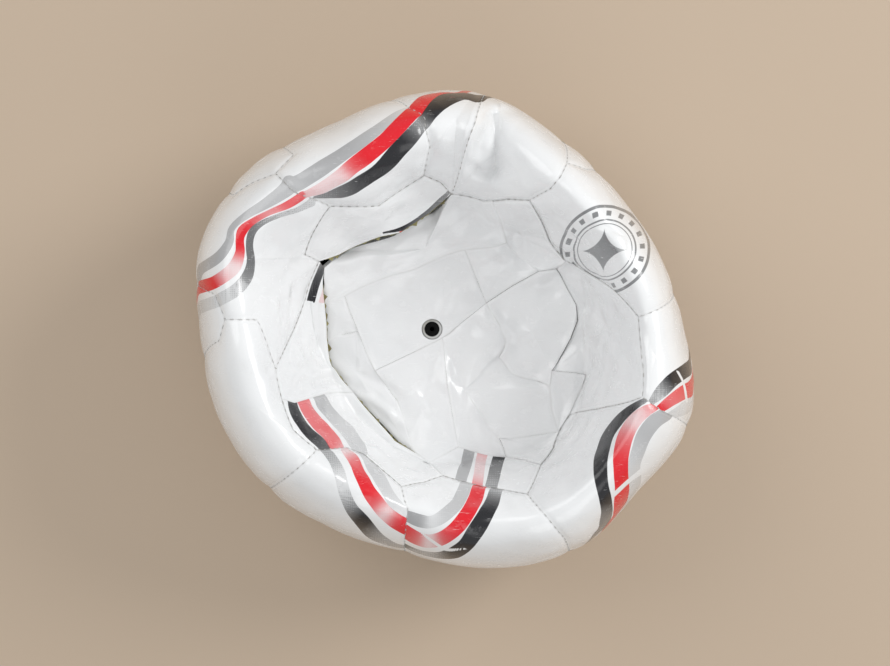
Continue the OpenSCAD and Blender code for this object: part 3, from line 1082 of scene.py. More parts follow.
@dataclass(frozen=True)
class PrintedVinyl:
    """Glossy white vinyl with printed bands, worn ink, grime in the seams and scuffs.

    Pitch and depths are in mm, edges are the soft half widths of a border, and the badge's sizes are shares
    of its radius: rings by radius, half width and softness, ticks by where they begin and end.
    """

    name: str = "cover_vinyl_worn"
    white: Colour = (0.88, 0.885, 0.885, 1)
    shade: Colour = (0.81, 0.82, 0.825, 1)
    grime: Colour = (0.34, 0.31, 0.26, 1)
    inks: tuple[Colour, ...] = ((0.34, 0.34, 0.345, 1), (0.76, 0.005, 0.016, 1), (0.012, 0.012, 0.015, 1))
    dot_pitch: float = 0.8
    dot_edge: float = 0.12
    ink_edge: float = 0.12
    ink_unevenness: float = 0.2
    ink_thinning: float = 0.4
    bare_edge: float = 0.15
    dot_share: float = 0.08
    black_dot_share: float = 0.22
    black_gain: float = 1.1
    badge_ink: Colour = (0.13, 0.135, 0.14, 1)
    badge_cover: float = 0.85
    rings: tuple[Triple, ...] = ((0.58, 0.015, 0.01), (0.95, 0.04, 0.015), (0.66, 0.025, 0.015))
    ticks: int = 18
    tick_ends: Pair = (0.75, 0.86)
    tick_edge: float = 0.01
    star: float = 0.64
    star_edge: float = 0.02
    star_curve: float = 0.62
    scratch_depth: float = 0.03
    grain_depth: float = 0.10
    coat: float = 0.3
    coat_rough: float = 0.10

    def dots(self, s: Shader, where: Wire, dense: Wire, wear: Wire) -> Wire:
        """Coverage of a halftone whose dots grow together as dense goes to 1.

        Args:
            s: The shader to add to.
            where: Places on the skin.
            dense: How full the print is, from 0 to 1.
            wear: How far the dots have shrunk.

        Returns:
            Coverage from 0 to 1.
        """
        cell = s.node("ShaderNodeTexVoronoi", {"feature": "F1"}, {
            "Vector": where, "Scale": 1 / (self.dot_pitch * MM), "Randomness": 0.1})
        size = dense * 1.05 - wear
        return (size - cell).step(-self.dot_edge, self.dot_edge)

    def badge(self, s: Shader) -> Wire:
        """Rings, ticks and a plain four-pointed star on the round badge's place.

        Args:
            s: The shader to add to.

        Returns:
            Coverage from 0 to 1.
        """
        x, y, on = s.stored_xyz("badge")
        r = (x * x + y * y) ** 0.5
        turn = y.op("ARCTAN2", x)
        lines = ((r - at).op("ABSOLUTE").step(half, half - soft) for at, half, soft in self.rings)
        drawn = sum(lines, start=next(lines))
        (near, far), soft = self.tick_ends, self.tick_edge
        ticks = (turn * self.ticks).op("SINE").step(0.2, 0.5)
        ticks = ticks * r.step(near - soft, near + soft) * r.step(far + soft, far - soft)
        arms = x.op("ABSOLUTE") ** self.star_curve + y.op("ABSOLUTE") ** self.star_curve
        drawn = drawn + ticks
        drawn = drawn + arms.step(self.star + self.star_edge, self.star - self.star_edge)
        return drawn.op("MINIMUM", 1.0) * on.step(5.0, 1.0)

    def printed(self, s: Shader, where: Wire, colour: Wire, fine: Wire, wear: Wire) -> Wire:
        """Print the bands over a colour.

        Args:
            s: The shader.
            where: The piece's coordinates.
            colour: The vinyl's colour.
            fine: Fine noise, which makes the bands' borders uneven.
            wear: How much ink is worn off.

        Returns:
            The new colour.
        """
        inside = s.stored_xyz("ink")
        dense = s.stored_xyz("dense")
        uneven = (fine - 0.5) * self.ink_unevenness
        bare = 1 - s.stored("bare").step(-self.bare_edge, self.bare_edge)
        for ink in (Ink.GREY, Ink.RED, Ink.BLACK):
            k = ink.value
            dots = self.dots(s, where, dense[k], wear)
            plain = dense[k] * (1 - wear * self.ink_thinning)
            share = self.dot_share
            if ink is Ink.BLACK:
                plain = (plain * self.black_gain).op("MINIMUM", 1.0)
                share = self.black_dot_share
            tint = plain * (1 - share) + dots * share
            cover = (inside[k] + uneven).step(-self.ink_edge, self.ink_edge) * tint * bare
            colour = s.mix(cover, colour, self.inks[k])
        return colour

    def make(self) -> bpy.types.Material:
        """Build the material.

        Returns:
            The printed vinyl.
        """
        s = Shader(self.name)
        where = s.place()
        wide = s.noise(where, 38, 3)
        fine = s.noise(s.shifted(where, (3, 1, 2)), 7, 4, 0.62)
        speck = s.noise(s.shifted(where, (1, 5, 2)), 1.1, 2)
        scratch = s.noise(s.shifted(where, (0, 0, 0), (1, 9, 1), (0.3, 0.2, 0.7)), 5.5, 3, 0.6)
        lip = s.stored("lip")
        wear = fine.step(0.56, 0.72) * 0.28 + scratch.step(0.66, 0.72) * 0.7 + (speck - 0.5) * 0.12
        colour = s.mix(wide.step(0.35, 0.7) * 0.6, self.white, self.shade)
        smudge = fine.step(0.52, 0.80) * wide.step(0.40, 0.65) * 0.12
        colour = s.mix(smudge, colour, self.grime)
        colour = s.mix(self.badge(s) * (1 - wear) * self.badge_cover, colour, self.badge_ink)
        colour = self.printed(s, where, colour, fine, wear)
        dust = lip.step(0.6, 0.0) * (fine * 0.22)
        colour = s.mix(dust, colour, self.grime)
        height = s.bump(scratch.step(0.60, 0.75), -self.scratch_depth)
        height = s.bump(s.noise(where, 9, 2), self.grain_depth, height)
        rough = 0.20 + fine.step(0.45, 0.75) * 0.14 + scratch.step(0.6, 0.7) * 0.10 + lip.step(2.0, 0.0) * 0.2
        return s.finish(Base_Color=colour, Roughness=rough, Normal=height, Coat_Weight=self.coat,
                        Coat_Roughness=self.coat_rough)


@dataclass(frozen=True)
class Cloth:
    """Woven backing or frayed lining, in a plain colour with a weave."""

    name: str
    colour: Colour
    dark: Colour
    weave: float = 0.55

    def make(self) -> bpy.types.Material:
        """Build the material.

        Returns:
            The cloth.
        """
        s = Shader(self.name)
        where = s.place()
        weave = s.node("ShaderNodeTexWave", {"wave_type": "BANDS"}, {
            "Vector": where, "Scale": 0.3 / (self.weave * MM), "Distortion": 3.0, "Detail": 2.0}, out="Fac")
        patch = s.noise(where, 6, 3)
        colour = s.mix(patch.step(0.4, 0.65), self.colour, self.dark)
        return s.finish(Base_Color=colour, Roughness=0.85, Normal=s.bump(weave, 0.15))


@dataclass(frozen=True)
class Rubber:
    """Rubber with a little dust."""

    name: str
    colour: Colour
    dust: Colour
    rough: float = 0.55

    def make(self) -> bpy.types.Material:
        """Build the material.

        Returns:
            The rubber.
        """
        s = Shader(self.name)
        where = s.place()
        patch = s.noise(where, 2.2, 3)
        colour = s.mix(patch.step(0.5, 0.8) * 0.35, self.colour, self.dust)
        return s.finish(Base_Color=colour, Roughness=self.rough + patch * 0.1, Normal=s.bump(patch, 0.06),
                        Specular_IOR_Level=0.2)


@dataclass
class Cover:
    """The stitched cover: every panel, with its own lip line."""

    maker: PanelMaker
    reader: LipReader
    vinyl: PrintedVinyl = PrintedVinyl()
    backing: Cloth = Cloth("lining_cloth", (0.36, 0.33, 0.15, 1), (0.22, 0.19, 0.08, 1))

    def build(self) -> tuple[list[Lip], bpy.types.Material]:
        """Build all panels.

        Returns:
            The panels' lips and the backing's material.
        """
        vinyl, cloth = self.vinyl.make(), self.backing.make()
        lips = []
        for node in sorted(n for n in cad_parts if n.startswith("panel_")):
            lip = self.reader.read(node)
            piece = self.maker.build(lip, vinyl, cloth)
            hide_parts(node)
            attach(piece, BODY)
            lips.append(lip)
            log.info("%s: %d faces", piece.name, len(piece.data.polygons))
        return lips, cloth


@dataclass
class SeamWork:
    """Stitches along the closed seams and frayed lining along the gaping ones, in mm.

    A seam is closed where the next panel's lip is nearer than closed_gap, and gapes where it is farther
    than open_gap. The lining hangs below a gaping lip and reaches in under the panel by its root. Its tufts
    have a least width, the most that is added to it, and the power that keeps most of them short.
    """

    lips: list[Lip]
    closed_gap: float = 1.65
    open_gap: float = 2.0
    upper_z: float = 45.0
    shortest_seam: int = 4
    shortest_gape: int = 9
    spacing: float = 3.6
    stitch_r: float = 0.26
    stitch_half: float = 0.95
    stitch_sides: int = 6
    stitch_rings: int = 4
    stitch_length: Pair = (0.8, 1.15)
    lining_below: float = 1.35
    lining_half: float = 0.35
    lining_root: float = 1.2
    tufts: tuple[float, float, float] = (0.08, 1.8, 8)
    end_width: float = 0.1
    thread: Cloth = Cloth("stitch_thread", (0.74, 0.74, 0.72, 1), (0.55, 0.54, 0.51, 1), 0.2)

    def gaps(self) -> tuple[list[np.ndarray], list[np.ndarray]]:
        """Split every lip by how far the next panel's lip is.

        Returns:
            The runs of the closed seams, each once, and the runs of the gaping lips.
        """
        every = np.vstack([lip.points for lip in self.lips])
        owner = np.concatenate([np.full(len(lip.points), k) for k, lip in enumerate(self.lips)])
        closed, gaping = [], []
        for k, lip in enumerate(self.lips):
            others = np.flatnonzero(owner != k)
            tree = search_tree(every[others], others)
            seam, gap = [], []
            for p in lip.points:
                _, i, far = tree.find(Vector(p))
                sewn = "side" in lip.node or "side" in self.lips[owner[i]].node
                shut = far < self.closed_gap and sewn and owner[i] > k
                seam.append((p + every[i]) / 2 if shut else None)
                hung = "slope" in lip.node and p[2] > self.upper_z
                gap.append(p if far > self.open_gap and hung else None)
            closed += self.runs(seam, self.shortest_seam)
            gaping += self.runs(gap, self.shortest_gape)
        return closed, gaping

    def runs(self, points: list[np.ndarray | None], shortest: int) -> list[np.ndarray]:
        """The unbroken runs of at least shortest points round a closed loop.

        Args:
            points: The loop's points, None where a run is broken.
            shortest: The least number of points in a run.

        Returns:
            The runs, each as rows of x, y and z.
        """
        if all(p is not None for p in points):
            return [np.array([*points, points[0]])]
        start = next(i for i, p in enumerate(points) if p is None)
        out: list[np.ndarray] = []
        now: list[np.ndarray] = []
        for p in points[start:] + points[:start] + [None]:
            if p is not None:
                now.append(p)
                continue
            if len(now) >= shortest:
                out.append(np.array(now))
            now = []
        return out

    def tree(self) -> bpy.types.NodeTree:
        """The node tree that sets a stitch at every step of the seam lines.

        Returns:
            The tree, with its sizes as inputs.
        """
        tree = bpy.data.node_groups.new("stitch_rows", "GeometryNodeTree")
        face = tree.interface
        face.new_socket("Geometry", in_out="INPUT", socket_type="NodeSocketGeometry")
        for name, kind in (("Spacing", "Float"), ("Radius", "Float"), ("Half", "Float"), ("Seed", "Int"),
                           ("Thread", "Material")):
            face.new_socket(name, in_out="INPUT", socket_type="NodeSocket" + kind)
        face.new_socket("Geometry", in_out="OUTPUT", socket_type="NodeSocketGeometry")
        start = add_node(tree, "NodeGroupInput").outputs
        seams = add_node(tree, "GeometryNodeMeshToCurve", {}, {"Mesh": start["Geometry"]})
        even = add_node(tree, "GeometryNodeResampleCurve", {"mode": "LENGTH"}, {
            "Curve": seams.outputs["Curve"], "Length": start["Spacing"]})
        points = add_node(tree, "GeometryNodeCurveToPoints", {"mode": "EVALUATED"}, {
            "Curve": even.outputs["Curve"]})
        ball = add_node(tree, "GeometryNodeMeshUVSphere", {}, {
            "Segments": self.stitch_sides, "Rings": self.stitch_rings, "Radius": 1.0})
        least, most = self.stitch_length
        vary = add_node(tree, "FunctionNodeRandomValue", {"data_type": "FLOAT"}, {
            2: least, 3: most, "Seed": start["Seed"]})
        long = add_node(tree, "ShaderNodeMath", {"operation": "MULTIPLY"}, {
            0: start["Half"], 1: vary.outputs[1]})
        size = add_node(tree, "ShaderNodeCombineXYZ", {}, {
            0: start["Radius"], 1: start["Radius"], 2: long.outputs[0]})
        row = add_node(tree, "GeometryNodeInstanceOnPoints", {}, {
            "Points": points.outputs["Points"], "Instance": ball.outputs["Mesh"],
            "Rotation": points.outputs["Rotation"], "Scale": size.outputs[0]})
        real = add_node(tree, "GeometryNodeRealizeInstances", {}, {"Geometry": row.outputs["Instances"]})
        dressed = add_node(tree, "GeometryNodeSetMaterial", {}, {
            "Geometry": real.outputs["Geometry"], "Material": start["Thread"]})
        add_node(tree, "NodeGroupOutput", {}, {"Geometry": dressed.outputs["Geometry"]})
        return tree

    def stitches(self, runs: list[np.ndarray], thread: bpy.types.Material) -> bpy.types.Object:
        """Build every stitch as one mesh.

        Args:
            runs: The closed seams' lines in mm.
            thread: The thread's material.

        Returns:
            The stitches' object.
        """
        mesh = bpy.data.meshes.new("seam_lines")
        points, edges = [], []
        for run in runs:
            edges += [(len(points) + i, len(points) + i + 1) for i in range(len(run) - 1)]
            points += (run * MM).tolist()
        mesh.from_pydata(points, edges, [])
        base = placed("seam_base", mesh)
        modifier = base.modifiers.new("rows", "NODES")
        modifier.node_group = self.tree()
        values = {"Spacing": self.spacing * MM, "Radius": self.stitch_r * MM, "Half": self.stitch_half * MM,
                  "Seed": SEED, "Thread": thread}
        for item in modifier.node_group.interface.items_tree:
            if item.in_out == "INPUT" and item.name in values:
                modifier[item.identifier] = values[item.name]
        bpy.context.view_layer.update()
        made = bpy.data.meshes.new_from_object(base.evaluated_get(bpy.context.evaluated_depsgraph_get()))
        bpy.data.objects.remove(base)
        made.shade_smooth()
        return placed("stitches", made)

    def ribbon(self, runs: list[np.ndarray], cloth: bpy.types.Material) -> bpy.types.Object:
        """Build the frayed lining as closed flat strips along the gaping lips.

        Args:
            runs: The gaping lips' lines in mm.
            cloth: The lining's material.

        Returns:
            The lining's object.
        """
        rng = np.random.default_rng(SEED)
        least, more, power = self.tufts
        points: list[np.ndarray] = []
        faces: list[Numbers] = []
        for run in runs:
            first = sum(len(p) for p in points)
            out = unit(np.cross(unit(np.gradient(run, axis=0)), [0.0, 0.0, 1.0]))
            tip = least + more * rng.random(len(run)) ** power
            tip[[0, -1]] = self.end_width
            root = np.full(len(run), -self.lining_root)
            corners = []
            for reach, way in ((root, 1), (tip, 1), (tip, -1), (root, -1)):
                rise = way * self.lining_half - self.lining_below
                corners.append(run + out * reach[:, None] + [0, 0, rise])
            points.append(np.stack(corners, 1).reshape(-1, 3))
            for a in range(first, first + 4 * (len(run) - 1), 4):
                faces += [(a + k, a + (k + 1) % 4, a + 4 + (k + 1) % 4, a + 4 + k) for k in range(4)]
            last = first + 4 * (len(run) - 1)
            faces += [(first + 3, first + 2, first + 1, first), (last, last + 1, last + 2, last + 3)]
        mesh = bpy.data.meshes.new("lining_strips")
        mesh.from_pydata((np.vstack(points) * MM).tolist(), [], faces)
        mesh.materials.append(cloth)
        return placed("lining", mesh)

    def build(self, cloth: bpy.types.Material) -> None:
        """Build the stitches and the lining.

        Args:
            cloth: The lining's material.
        """
        closed, gaping = self.gaps()
        stitches = self.stitches(closed, self.thread.make())
        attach(stitches, BODY)
        log.info("stitches: %d faces in %d runs", len(stitches.data.polygons), len(closed))
        lining = self.ribbon(gaping, cloth)
        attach(lining, BODY)
        log.info("lining: %d faces in %d runs", len(lining.data.polygons), len(gaping))


@dataclass
class ValveAndBladder:
    """The rubber parts, which keep their built shapes and take worn rubber finishes."""

    finishes: tuple[tuple[str, Rubber], ...] = (
        ("valve_sleeve", Rubber("sleeve_rubber_pale", (0.60, 0.60, 0.59, 1), (0.30, 0.28, 0.24, 1))),
        ("valve_plug", Rubber("plug_rubber_black", (0.003, 0.003, 0.003, 1), (0.02, 0.02, 0.02, 1), 0.8)),
        ("bladder", Rubber("bladder_rubber_dark", (0.012, 0.012, 0.014, 1), (0.05, 0.05, 0.045, 1), 0.7)),
    )

    def dress(self) -> None:
        """Give each part its finish."""
        for node, finish in self.finishes:
            material = finish.make()
            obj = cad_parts[node]
            if not obj.material_slots:
                obj.data.materials.append(material)
            for part in obj.material_slots:
                part.material = material
            log.info("%s: %s", node, material.name)


@dataclass
class Studio:
    """A pale floor, a key lamp from the right, softer lamps round it, and the camera straight above."""

    floor: Colour = (0.52, 0.41, 0.305, 1)
    floor_half: float = 3.0
    backdrop: Colour = (0.80, 0.78, 0.75, 1)
    sky: Colour = (0.97, 0.985, 1.0, 1)
    fill: float = 0.55
    eye: Triple = (0.0, -0.0018, 1.0)
    lens: float = 82.95
    sensor: float = 36.0
    aim: Triple = (0.0, 0.0, 0.06)
    lamps: tuple[tuple[str, Triple, float, float], ...] = (
        ("key", (1.15, 0.50, 1.0), 0.7, 11.5),
        ("soft", (-0.9, 0.6, 1.2), 1.2, 6.5),
        ("low", (0.3, -1.1, 1.0), 0.9, 2.5),
    )

    def ground(self) -> None:
        """Lay the floor."""
        far = self.floor_half
        mesh = bpy.data.meshes.new("ground")
        mesh.from_pydata([(-far, -far, 0), (far, -far, 0), (far, far, 0), (-far, far, 0)], [], [(0, 1, 2, 3)])
        mesh.materials.append(Shader("ground_plain").finish(Base_Color=self.floor, Roughness=0.6))
        placed("ground", mesh)

    def surroundings(self) -> None:
        """Set the world: it lights the ball with the sky's colour and shows the backdrop's."""
        world = bpy.data.worlds.new("studio")
        world.use_nodes = True
        tree = world.node_tree
        tree.nodes.clear()
        shown = add_node(tree, "ShaderNodeBackground", {}, {"Color": self.backdrop})
        light = add_node(tree, "ShaderNodeBackground", {}, {"Color": self.sky, "Strength": self.fill})
        path = add_node(tree, "ShaderNodeLightPath")
        mix = add_node(tree, "ShaderNodeMixShader", {}, {
            0: path.outputs["Is Camera Ray"], 1: light.outputs[0], 2: shown.outputs[0]})
        add_node(tree, "ShaderNodeOutputWorld", {}, {0: mix.outputs[0]})
        bpy.context.scene.world = world

    def build(self) -> None:
        """Build the floor, the world, the lamps and the camera."""
        self.ground()
        self.surroundings()
        for name, place, size, power in self.lamps:
            lamp = bpy.data.lights.new(name, "AREA")
            lamp.shape = "DISK"
            lamp.size = size
            lamp.energy = power
            obj = placed(name, lamp)
            obj.location = place
            obj.rotation_euler = (Vector(self.aim) - Vector(place)).to_track_quat("-Z", "Y").to_euler()
        camera = bpy.data.cameras.new("camera")
        camera.lens = self.lens
        camera.sensor_width = self.sensor
        camera.sensor_fit = "HORIZONTAL"
        obj = placed("camera", camera)
        obj.location = self.eye
        bpy.context.scene.camera = obj
        bpy.context.scene.view_settings.view_transform = "Standard"
        log.info("studio: %d lamps", len(self.lamps))


BANDS = [
    # The wave at the left, from the side to the seam with the next panel.
    Band(Ink.GREY, "panel_side", (50, 0), [
        (-120, 29.5, 2.5, 0.8), (-118, 31.5, 2.5, 0.8), (-110.5, 36.5, 2.5, 0.8), (-105, 44, 2, 0.75),
        (-103.5, 51, 1.5, 0.7), (-96, 57.5, 1.75, 0.65), (-86.5, 63.5, 2.5, 0.65), (-78, 69.5, 3.5, 0.65),
        (-75.5, 72.5, 4, 0.65)]),
    Band(Ink.RED, "panel_side", (50, 0), [
        (-121.5, 21.5, 3, 1), (-117.5, 23, 3, 1), (-112.5, 24.5, 3, 1), (-107, 28, 3, 0.45),
        (-102.5, 32.5, 3, 0.25), (-100, 39.5, 2.25, 0.9), (-100, 45.5, 2, 1), (-98.5, 50, 2.25, 1),
        (-93.5, 54.5, 1.5, 0.9), (-85.5, 59, 1.25, 0.65), (-76.5, 63, 1.75, 0.9), (-69.5, 67.5, 2, 0.85)]),
    Band(Ink.BLACK, "panel_side", (50, 0), [
        (-120.5, 12, 3, 0.26), (-110.5, 16, 3, 0.26), (-102.5, 20.5, 3, 0.34), (-97, 27, 2.75, 0.6),
        (-95, 34.5, 2, 0.71), (-95.5, 43, 1.75, 0.71), (-94, 49.5, 1.75, 0.71), (-89, 54, 1.25, 0.6),
        (-80.5, 58, 1, 0.45), (-71.5, 61, 1.25, 0.34), (-65, 64, 2, 0.3)]),
    # The same wave on along the rim at the back, and down the side there.
    Band(Ink.GREY, "panel_side", (0, 55), [
        (-75.5, 71.5, 3.6, 0.63), (-69, 74.5, 3.6, 0.72), (-59.5, 80.5, 3.6, 0.81), (-49.5, 87, 3.15, 0.86),
        (-40, 93.5, 2.95, 0.76), (-30, 101, 2.25, 0.63), (-23, 106.5, 1.8, 0.45),
        (-18, 109.5, 1.35, 0.27)]),
    Band(Ink.RED, "panel_side", (0, 55), [
        (-70, 67, 1.5, 0.45), (-61, 70.5, 2.6, 0.3), (-51, 76.5, 3.45, 0.35), (-45.5, 81, 3.65, 0.85),
        (-39, 86, 3.65, 1), (-30, 93, 3.65, 1), (-22, 101, 3.65, 1), (-14.5, 109, 3.45, 1),
        (-7.5, 114.5, 2.6, 1), (-1.5, 117, 2.15, 1)]),
    Band(Ink.BLACK, "panel_side", (0, 55), [
        (-63.5, 66, 0.7, 0.57), (-51.5, 69, 2.4, 0.71), (-42, 73.5, 3.1, 0.86), (-32, 80.5, 3.55, 0.95),
        (-22.5, 90, 3.8, 0.95), (-16, 96.5, 3.8, 0.81), (-11.5, 101.5, 3.55, 0.57), (-7, 107.5, 3.55, 0.9),
        (0, 113, 3.55, 0.95), (9, 116, 2.6, 0.95)]),
    # The same wave inside the hollow, beside the gape.
    Band(Ink.BLACK, "panel_slope_top", (0, 0), [
        (3.5, 70.5, 0.5, 0.6), (-0.5, 66, 1.25, 0.6), (-5.5, 61, 1.75, 0.7), (-10.5, 57, 1.75, 0.75),
        (-16.5, 52.8, 1.5, 0.85), (-22.5, 50.2, 1, 0.95), (-30, 48.5, 0.5, 1)]),
    Band(Ink.RED, "panel_slope_top", (0, 0), [
        (-22, 49, 0.25, 1), (-17, 50.5, 0.75, 1), (-14, 52, 1.25, 1), (-11.5, 54.5, 0.75, 1),
        (-6.5, 58.5, 0.25, 0.9)]),
    # The cut-off patch on the left slope, and the bare line that ends it.
    Band(Ink.BLACK, "panel_slope_left", (0, 0), [
        (-60, 33, 2, 0.8), (-63.5, 23.5, 2, 0.9), (-65.5, 15.5, 2, 1)]),
    Band(Ink.RED, "panel_slope_left", (0, 0), [
        (-58.5, 25, 0.5, 0.25), (-59, 20, 1, 0.25), (-60, 14, 2, 0.3)]),
    Band(Ink.BARE, "panel_slope_left", (0, 0), [
        (-71, 14.4, 1.8, 1), (-63, 13.4, 1.8, 1), (-55, 12.2, 1.8, 1)]),
    # The stripes on the slope at the lower left.
    Band(Ink.BLACK, "panel_slope_stripe", (0, -6), [
        (-74, -31.5, 2.25, 1), (-73, -37.5, 2.25, 1), (-70, -44, 2.25, 1), (-66, -49, 2.25, 0.95),
        (-60, -55, 2, 0.8)]),
    Band(Ink.RED, "panel_slope_stripe", (0, 0), [
        (-69, -32, 2.75, 0.8), (-67, -37.5, 2.75, 0.8), (-64, -42.5, 2.75, 0.8), (-60, -47.5, 3, 0.85),
        (-54.5, -53.5, 3.25, 0.85), (-52, -56.5, 3, 0.6)]),
    Band(Ink.GREY, "panel_slope_stripe", (0, 0), [
        (-62, -30, 2.75, 0.7), (-58.5, -36.5, 3, 0.75), (-55, -41.5, 3.25, 0.6), (-49.5, -46.5, 3.5, 0.45),
        (-44, -53, 3.25, 0.5), (-39.5, -58, 2, 0.5)]),
    # The same stripes on over the lower left side.
    Band(Ink.BLACK, "panel_side_lower_left", (0, -20), [
        (-58.5, -56.5, 2, 0.5), (-54, -63, 2.5, 0.45), (-51, -70.5, 2.75, 0.22), (-49, -77.5, 2.75, 0.3),
        (-45.5, -85, 3, 0.6), (-40, -91.5, 3.5, 0.95), (-34, -98.5, 3.25, 0.6), (-27, -103.5, 2.75, 0.5),
        (-20, -108, 2.5, 0.5)]),
    Band(Ink.RED, "panel_side_lower_left", (0, -20), [
        (-48.5, -57.5, 2.25, 0.3), (-45, -63, 2.5, 0.8), (-41.5, -70, 2.75, 1), (-37.5, -77.5, 3, 1),
        (-33.5, -82.5, 3.25, 0.85), (-29, -87.5, 3.5, 0.35), (-24, -91.5, 3.75, 0.9),
        (-17.5, -96, 3.75, 1)]),
    Band(Ink.GREY, "panel_side_lower_left", (0, -20), [
        (-40.5, -58.5, 2.5, 0.4), (-35.5, -66.5, 3, 0.5), (-30.5, -74.5, 3, 0.45), (-25.5, -82, 3, 0.35),
        (-19, -88, 3, 0.25)]),
    # The bend at the front.
    Band(Ink.GREY, "panel_side_front", (-12, 0), [
        (-18.5, -89.5, 3, 0.9), (-12, -91.5, 3, 0.85), (-6.5, -92, 2.75, 0.3), (0, -89, 3, 0.55),
        (5.5, -84, 3, 0.6), (9, -77.5, 3, 0.6), (10.5, -73, 3, 0.5)]),
    Band(Ink.RED, "panel_side_front", (-12, 0), [
        (-19, -97.5, 3.5, 0.95), (-13, -100, 3.25, 0.75), (-7.5, -101, 3.25, 0.25), (-1, -99.5, 3.5, 0.85),
        (6, -94.5, 3.5, 1), (11.5, -87.5, 3.5, 1), (15, -80.5, 3.5, 1), (17, -74, 3.25, 1)]),
    Band(Ink.BLACK, "panel_side_front", (-12, 0), [
        (-20, -105.5, 2.25, 0.75), (-13, -108, 2.5, 0.5), (-5, -109, 2.5, 0.55), (2.5, -107.5, 3, 0.9),
        (9.5, -103.5, 3.5, 0.95), (14.5, -97, 4, 0.9), (19.5, -89.5, 3.75, 0.95), (23, -83, 3.5, 0.85),
        (25, -76.5, 3, 0.5)]),
    # Its short end on the slope above.
    Band(Ink.GREY, "panel_slope_front", (0, 0), [
        (12.5, -54.5, 2.75, 0.9), (10, -65, 2.75, 0.85), (7, -73.5, 2.75, 0.75)]),
    Band(Ink.RED, "panel_slope_front", (0, 0), [
        (19, -56, 2.5, 0.7), (17.5, -62, 2.5, 0.3), (16.5, -69, 2.5, 0.35), (15.5, -74.5, 2.75, 0.8)]),
    Band(Ink.BLACK, "panel_slope_front", (0, 0), [
        (27, -58, 3, 0.95), (24.5, -67, 3, 0.7), (22, -76.5, 3, 0.5)]),
    # The wave at the lower right.
    Band(Ink.BLACK, "panel_side_lower_right", (0, 55), [
        (98.5, -32, 1.25, 0.5), (91.5, -36.5, 2, 0.9), (85, -43, 2.5, 1), (80, -50.5, 2.75, 1),
        (77, -59, 3.25, 1), (76, -67, 3.25, 0.95), (76.5, -74, 3, 1), (78, -81, 3, 0.95),
        (78.5, -87.5, 2.75, 0.75), (77, -95, 2.5, 0.7)]),
    Band(Ink.RED, "panel_side_lower_right", (0, 55), [
        (104, -35.5, 1.75, 0.9), (98, -38, 2.75, 0.5), (92.5, -43, 3.25, 0.35), (88.5, -50, 3.5, 0.75),
        (86, -59, 3.5, 0.95), (85.5, -68, 3.5, 1), (86, -75.5, 3.5, 1), (85, -82.5, 3, 1),
        (84, -90, 2.5, 1)]),
    Band(Ink.GREY, "panel_side_lower_right", (0, 55), [
        (108.5, -39.5, 3, 0.8), (102, -43, 3.5, 0.75), (97, -49.5, 3.5, 0.75), (94, -57, 3.25, 0.6),
        (92, -64, 3, 0.45), (92, -71.5, 3.25, 0.4), (89, -79, 3, 0.4), (89.5, -87, 2.5, 0.4)]),
    # The wave on up the right side.
    Band(Ink.BLACK, "panel_side_right", (0, 50), [
        (100, -34.5, 1.5, 0.45), (105, -29, 3, 0.5), (110, -23.5, 3.25, 0.9), (114.5, -20, 3.25, 1),
        (119.5, -16.5, 3.25, 1)]),
    Band(Ink.RED, "panel_side_right", (0, 50), [
        (105.5, -37, 2.25, 1), (110, -33, 2.75, 0.8), (115, -29.5, 3.25, 0.9), (120, -27, 3.75, 1)]),
    Band(Ink.GREY, "panel_side_right", (0, 50), [
        (110, -41, 2, 0.4), (114.5, -38, 2.75, 0.35), (119.5, -35, 3.25, 0.3)]),
    # Bare lines across the prints.
    Band(Ink.BARE, "panel_side_lower_right", (0, 0), [
        (81.5, -79, 1, 1), (89, -72, 1, 1), (97.5, -65, 1.25, 1), (108.5, -50, 1.5, 1)]),
    Band(Ink.BARE, "panel_side_front", (0, 0), [
        (-12, -96.5, 0.5, 1), (-5.5, -101.5, 0.7, 1), (0.5, -105, 0.7, 1), (7.5, -105, 0.5, 1),
        (15.5, -104, 0.1, 1)]),
    Band(Ink.BARE, "panel_side_right", (0, 0), [
        (112.5, -18, 0.5, 1), (116, -25, 0.5, 1), (117.5, -33.5, 0.5, 1)]),
]

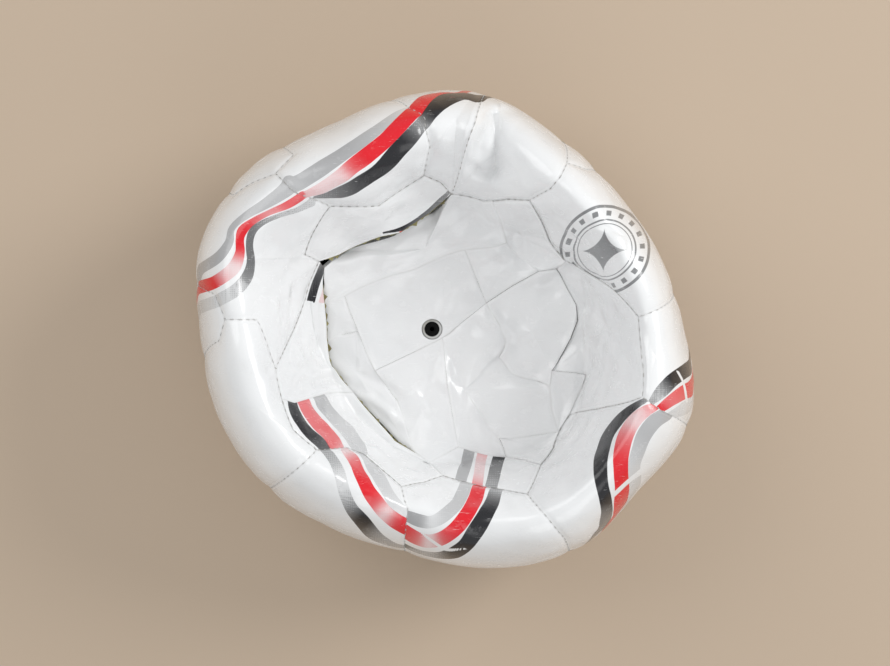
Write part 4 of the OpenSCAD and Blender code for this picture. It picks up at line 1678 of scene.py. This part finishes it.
CREASES = [
    Crease([(-88.5, 6.5), (-85.5, -6), (-85.5, -32.5)], -1.2, 6, "panel_slope"),
    Crease([(22.5, 111), (24, 102), (25, 92), (25, 80), (23, 70)], -7, 5.5, "panel_side_pleat",
           fold=True, grow=1.5, upright=True),
    Crease([(18.5, 104), (17, 94), (15.5, 84)], -4.5, 7.5, "panel_side_pleat", upright=True),
    Crease([(12, 82), (20.5, 79), (28, 83)], -1.5, 3, "panel_side_pleat"),
    Crease([(-10, 109.5), (-8.5, 99), (-6.5, 89), (-10, 78.5)], -1.4, 4, "panel_side"),
    Crease([(-13, 50.5), (-0.5, 52)], -1, 3, "panel_slope"),
    Crease([(3.5, 69), (2.5, 57.5), (-2.5, 44)], -1.4, 4, "panel_slope"),
    Crease([(19.5, 45.5), (27, 39.5), (34, 34.5)], 1.3, 5, "panel_"),
    Crease([(27, 4), (31.5, -4.5)], -0.9, 3, "panel_floor"),
    Crease([(22, -10.5), (34, -18), (46.5, -25.5)], -1.1, 4, "panel_floor"),
    Crease([(61, 36.5), (46.5, 29.5), (31.5, 23.5)], 1.5, 5, "panel_"),
    Crease([(-75, 30.5), (-72.5, 36.5)], -1.2, 4, "panel_"),
    Crease([(-70.5, -28), (-56, -19), (-36.5, -22), (-22, -35)], 1.3, 5, "panel_slope"),
    Crease([(41.5, -23), (49, -15.5)], -0.9, 4, "panel_floor"),
    Crease([(-10, -41.5), (-2.5, -48.5)], 1.2, 6, "panel_"),
    Crease([(-44, -31.5), (-31.5, -45), (-22, -57)], 1.1, 5, "panel_slope"),
    Crease([(-71, -27), (-60, -22.5), (-50, -21.5)], -1.8, 4.5, "panel_slope_left"),
    Crease([(-42, -29), (-31, -36), (-20, -45)], 1.3, 3.5, "panel_floor"),
    Crease([(-40, -20), (-30, -25), (-20, -32)], -1.1, 4, "panel_floor"),
    Crease([(64, 20), (66, 10), (62, -2), (54, -17)], 1.2, 2.5, "panel_floor"),
    Crease([(-8, -14), (-4, -26), (4, -36)], -0.9, 5, "panel_floor"),
    Crease([(12, 14), (22, 6), (36, 0)], 0.8, 4, "panel_floor"),
    Crease([(-82, 78.5), (-72, 69.5), (-66, 65)], 1.2, 5, "panel_side"),
]

# Broad domes of the floor in rows of x, y, radius and height, as seen from above and in mm.
DOMES = [(-3.0, 12.0, 22.0, 1.8), (52.0, 2.0, 15.0, 1.4)]


def main() -> None:
    """Build the football's looks."""
    logging.basicConfig(level=logging.INFO, format="%(name)s: %(message)s")
    body = BodyForm()
    maker = PanelMaker(body, Relief(CREASES, DOMES), BANDS)
    lips, cloth = Cover(maker, LipReader(body)).build()
    SeamWork(lips).build(cloth)
    ValveAndBladder().dress()
    Studio().build()


if __name__ == "__main__":
    main()
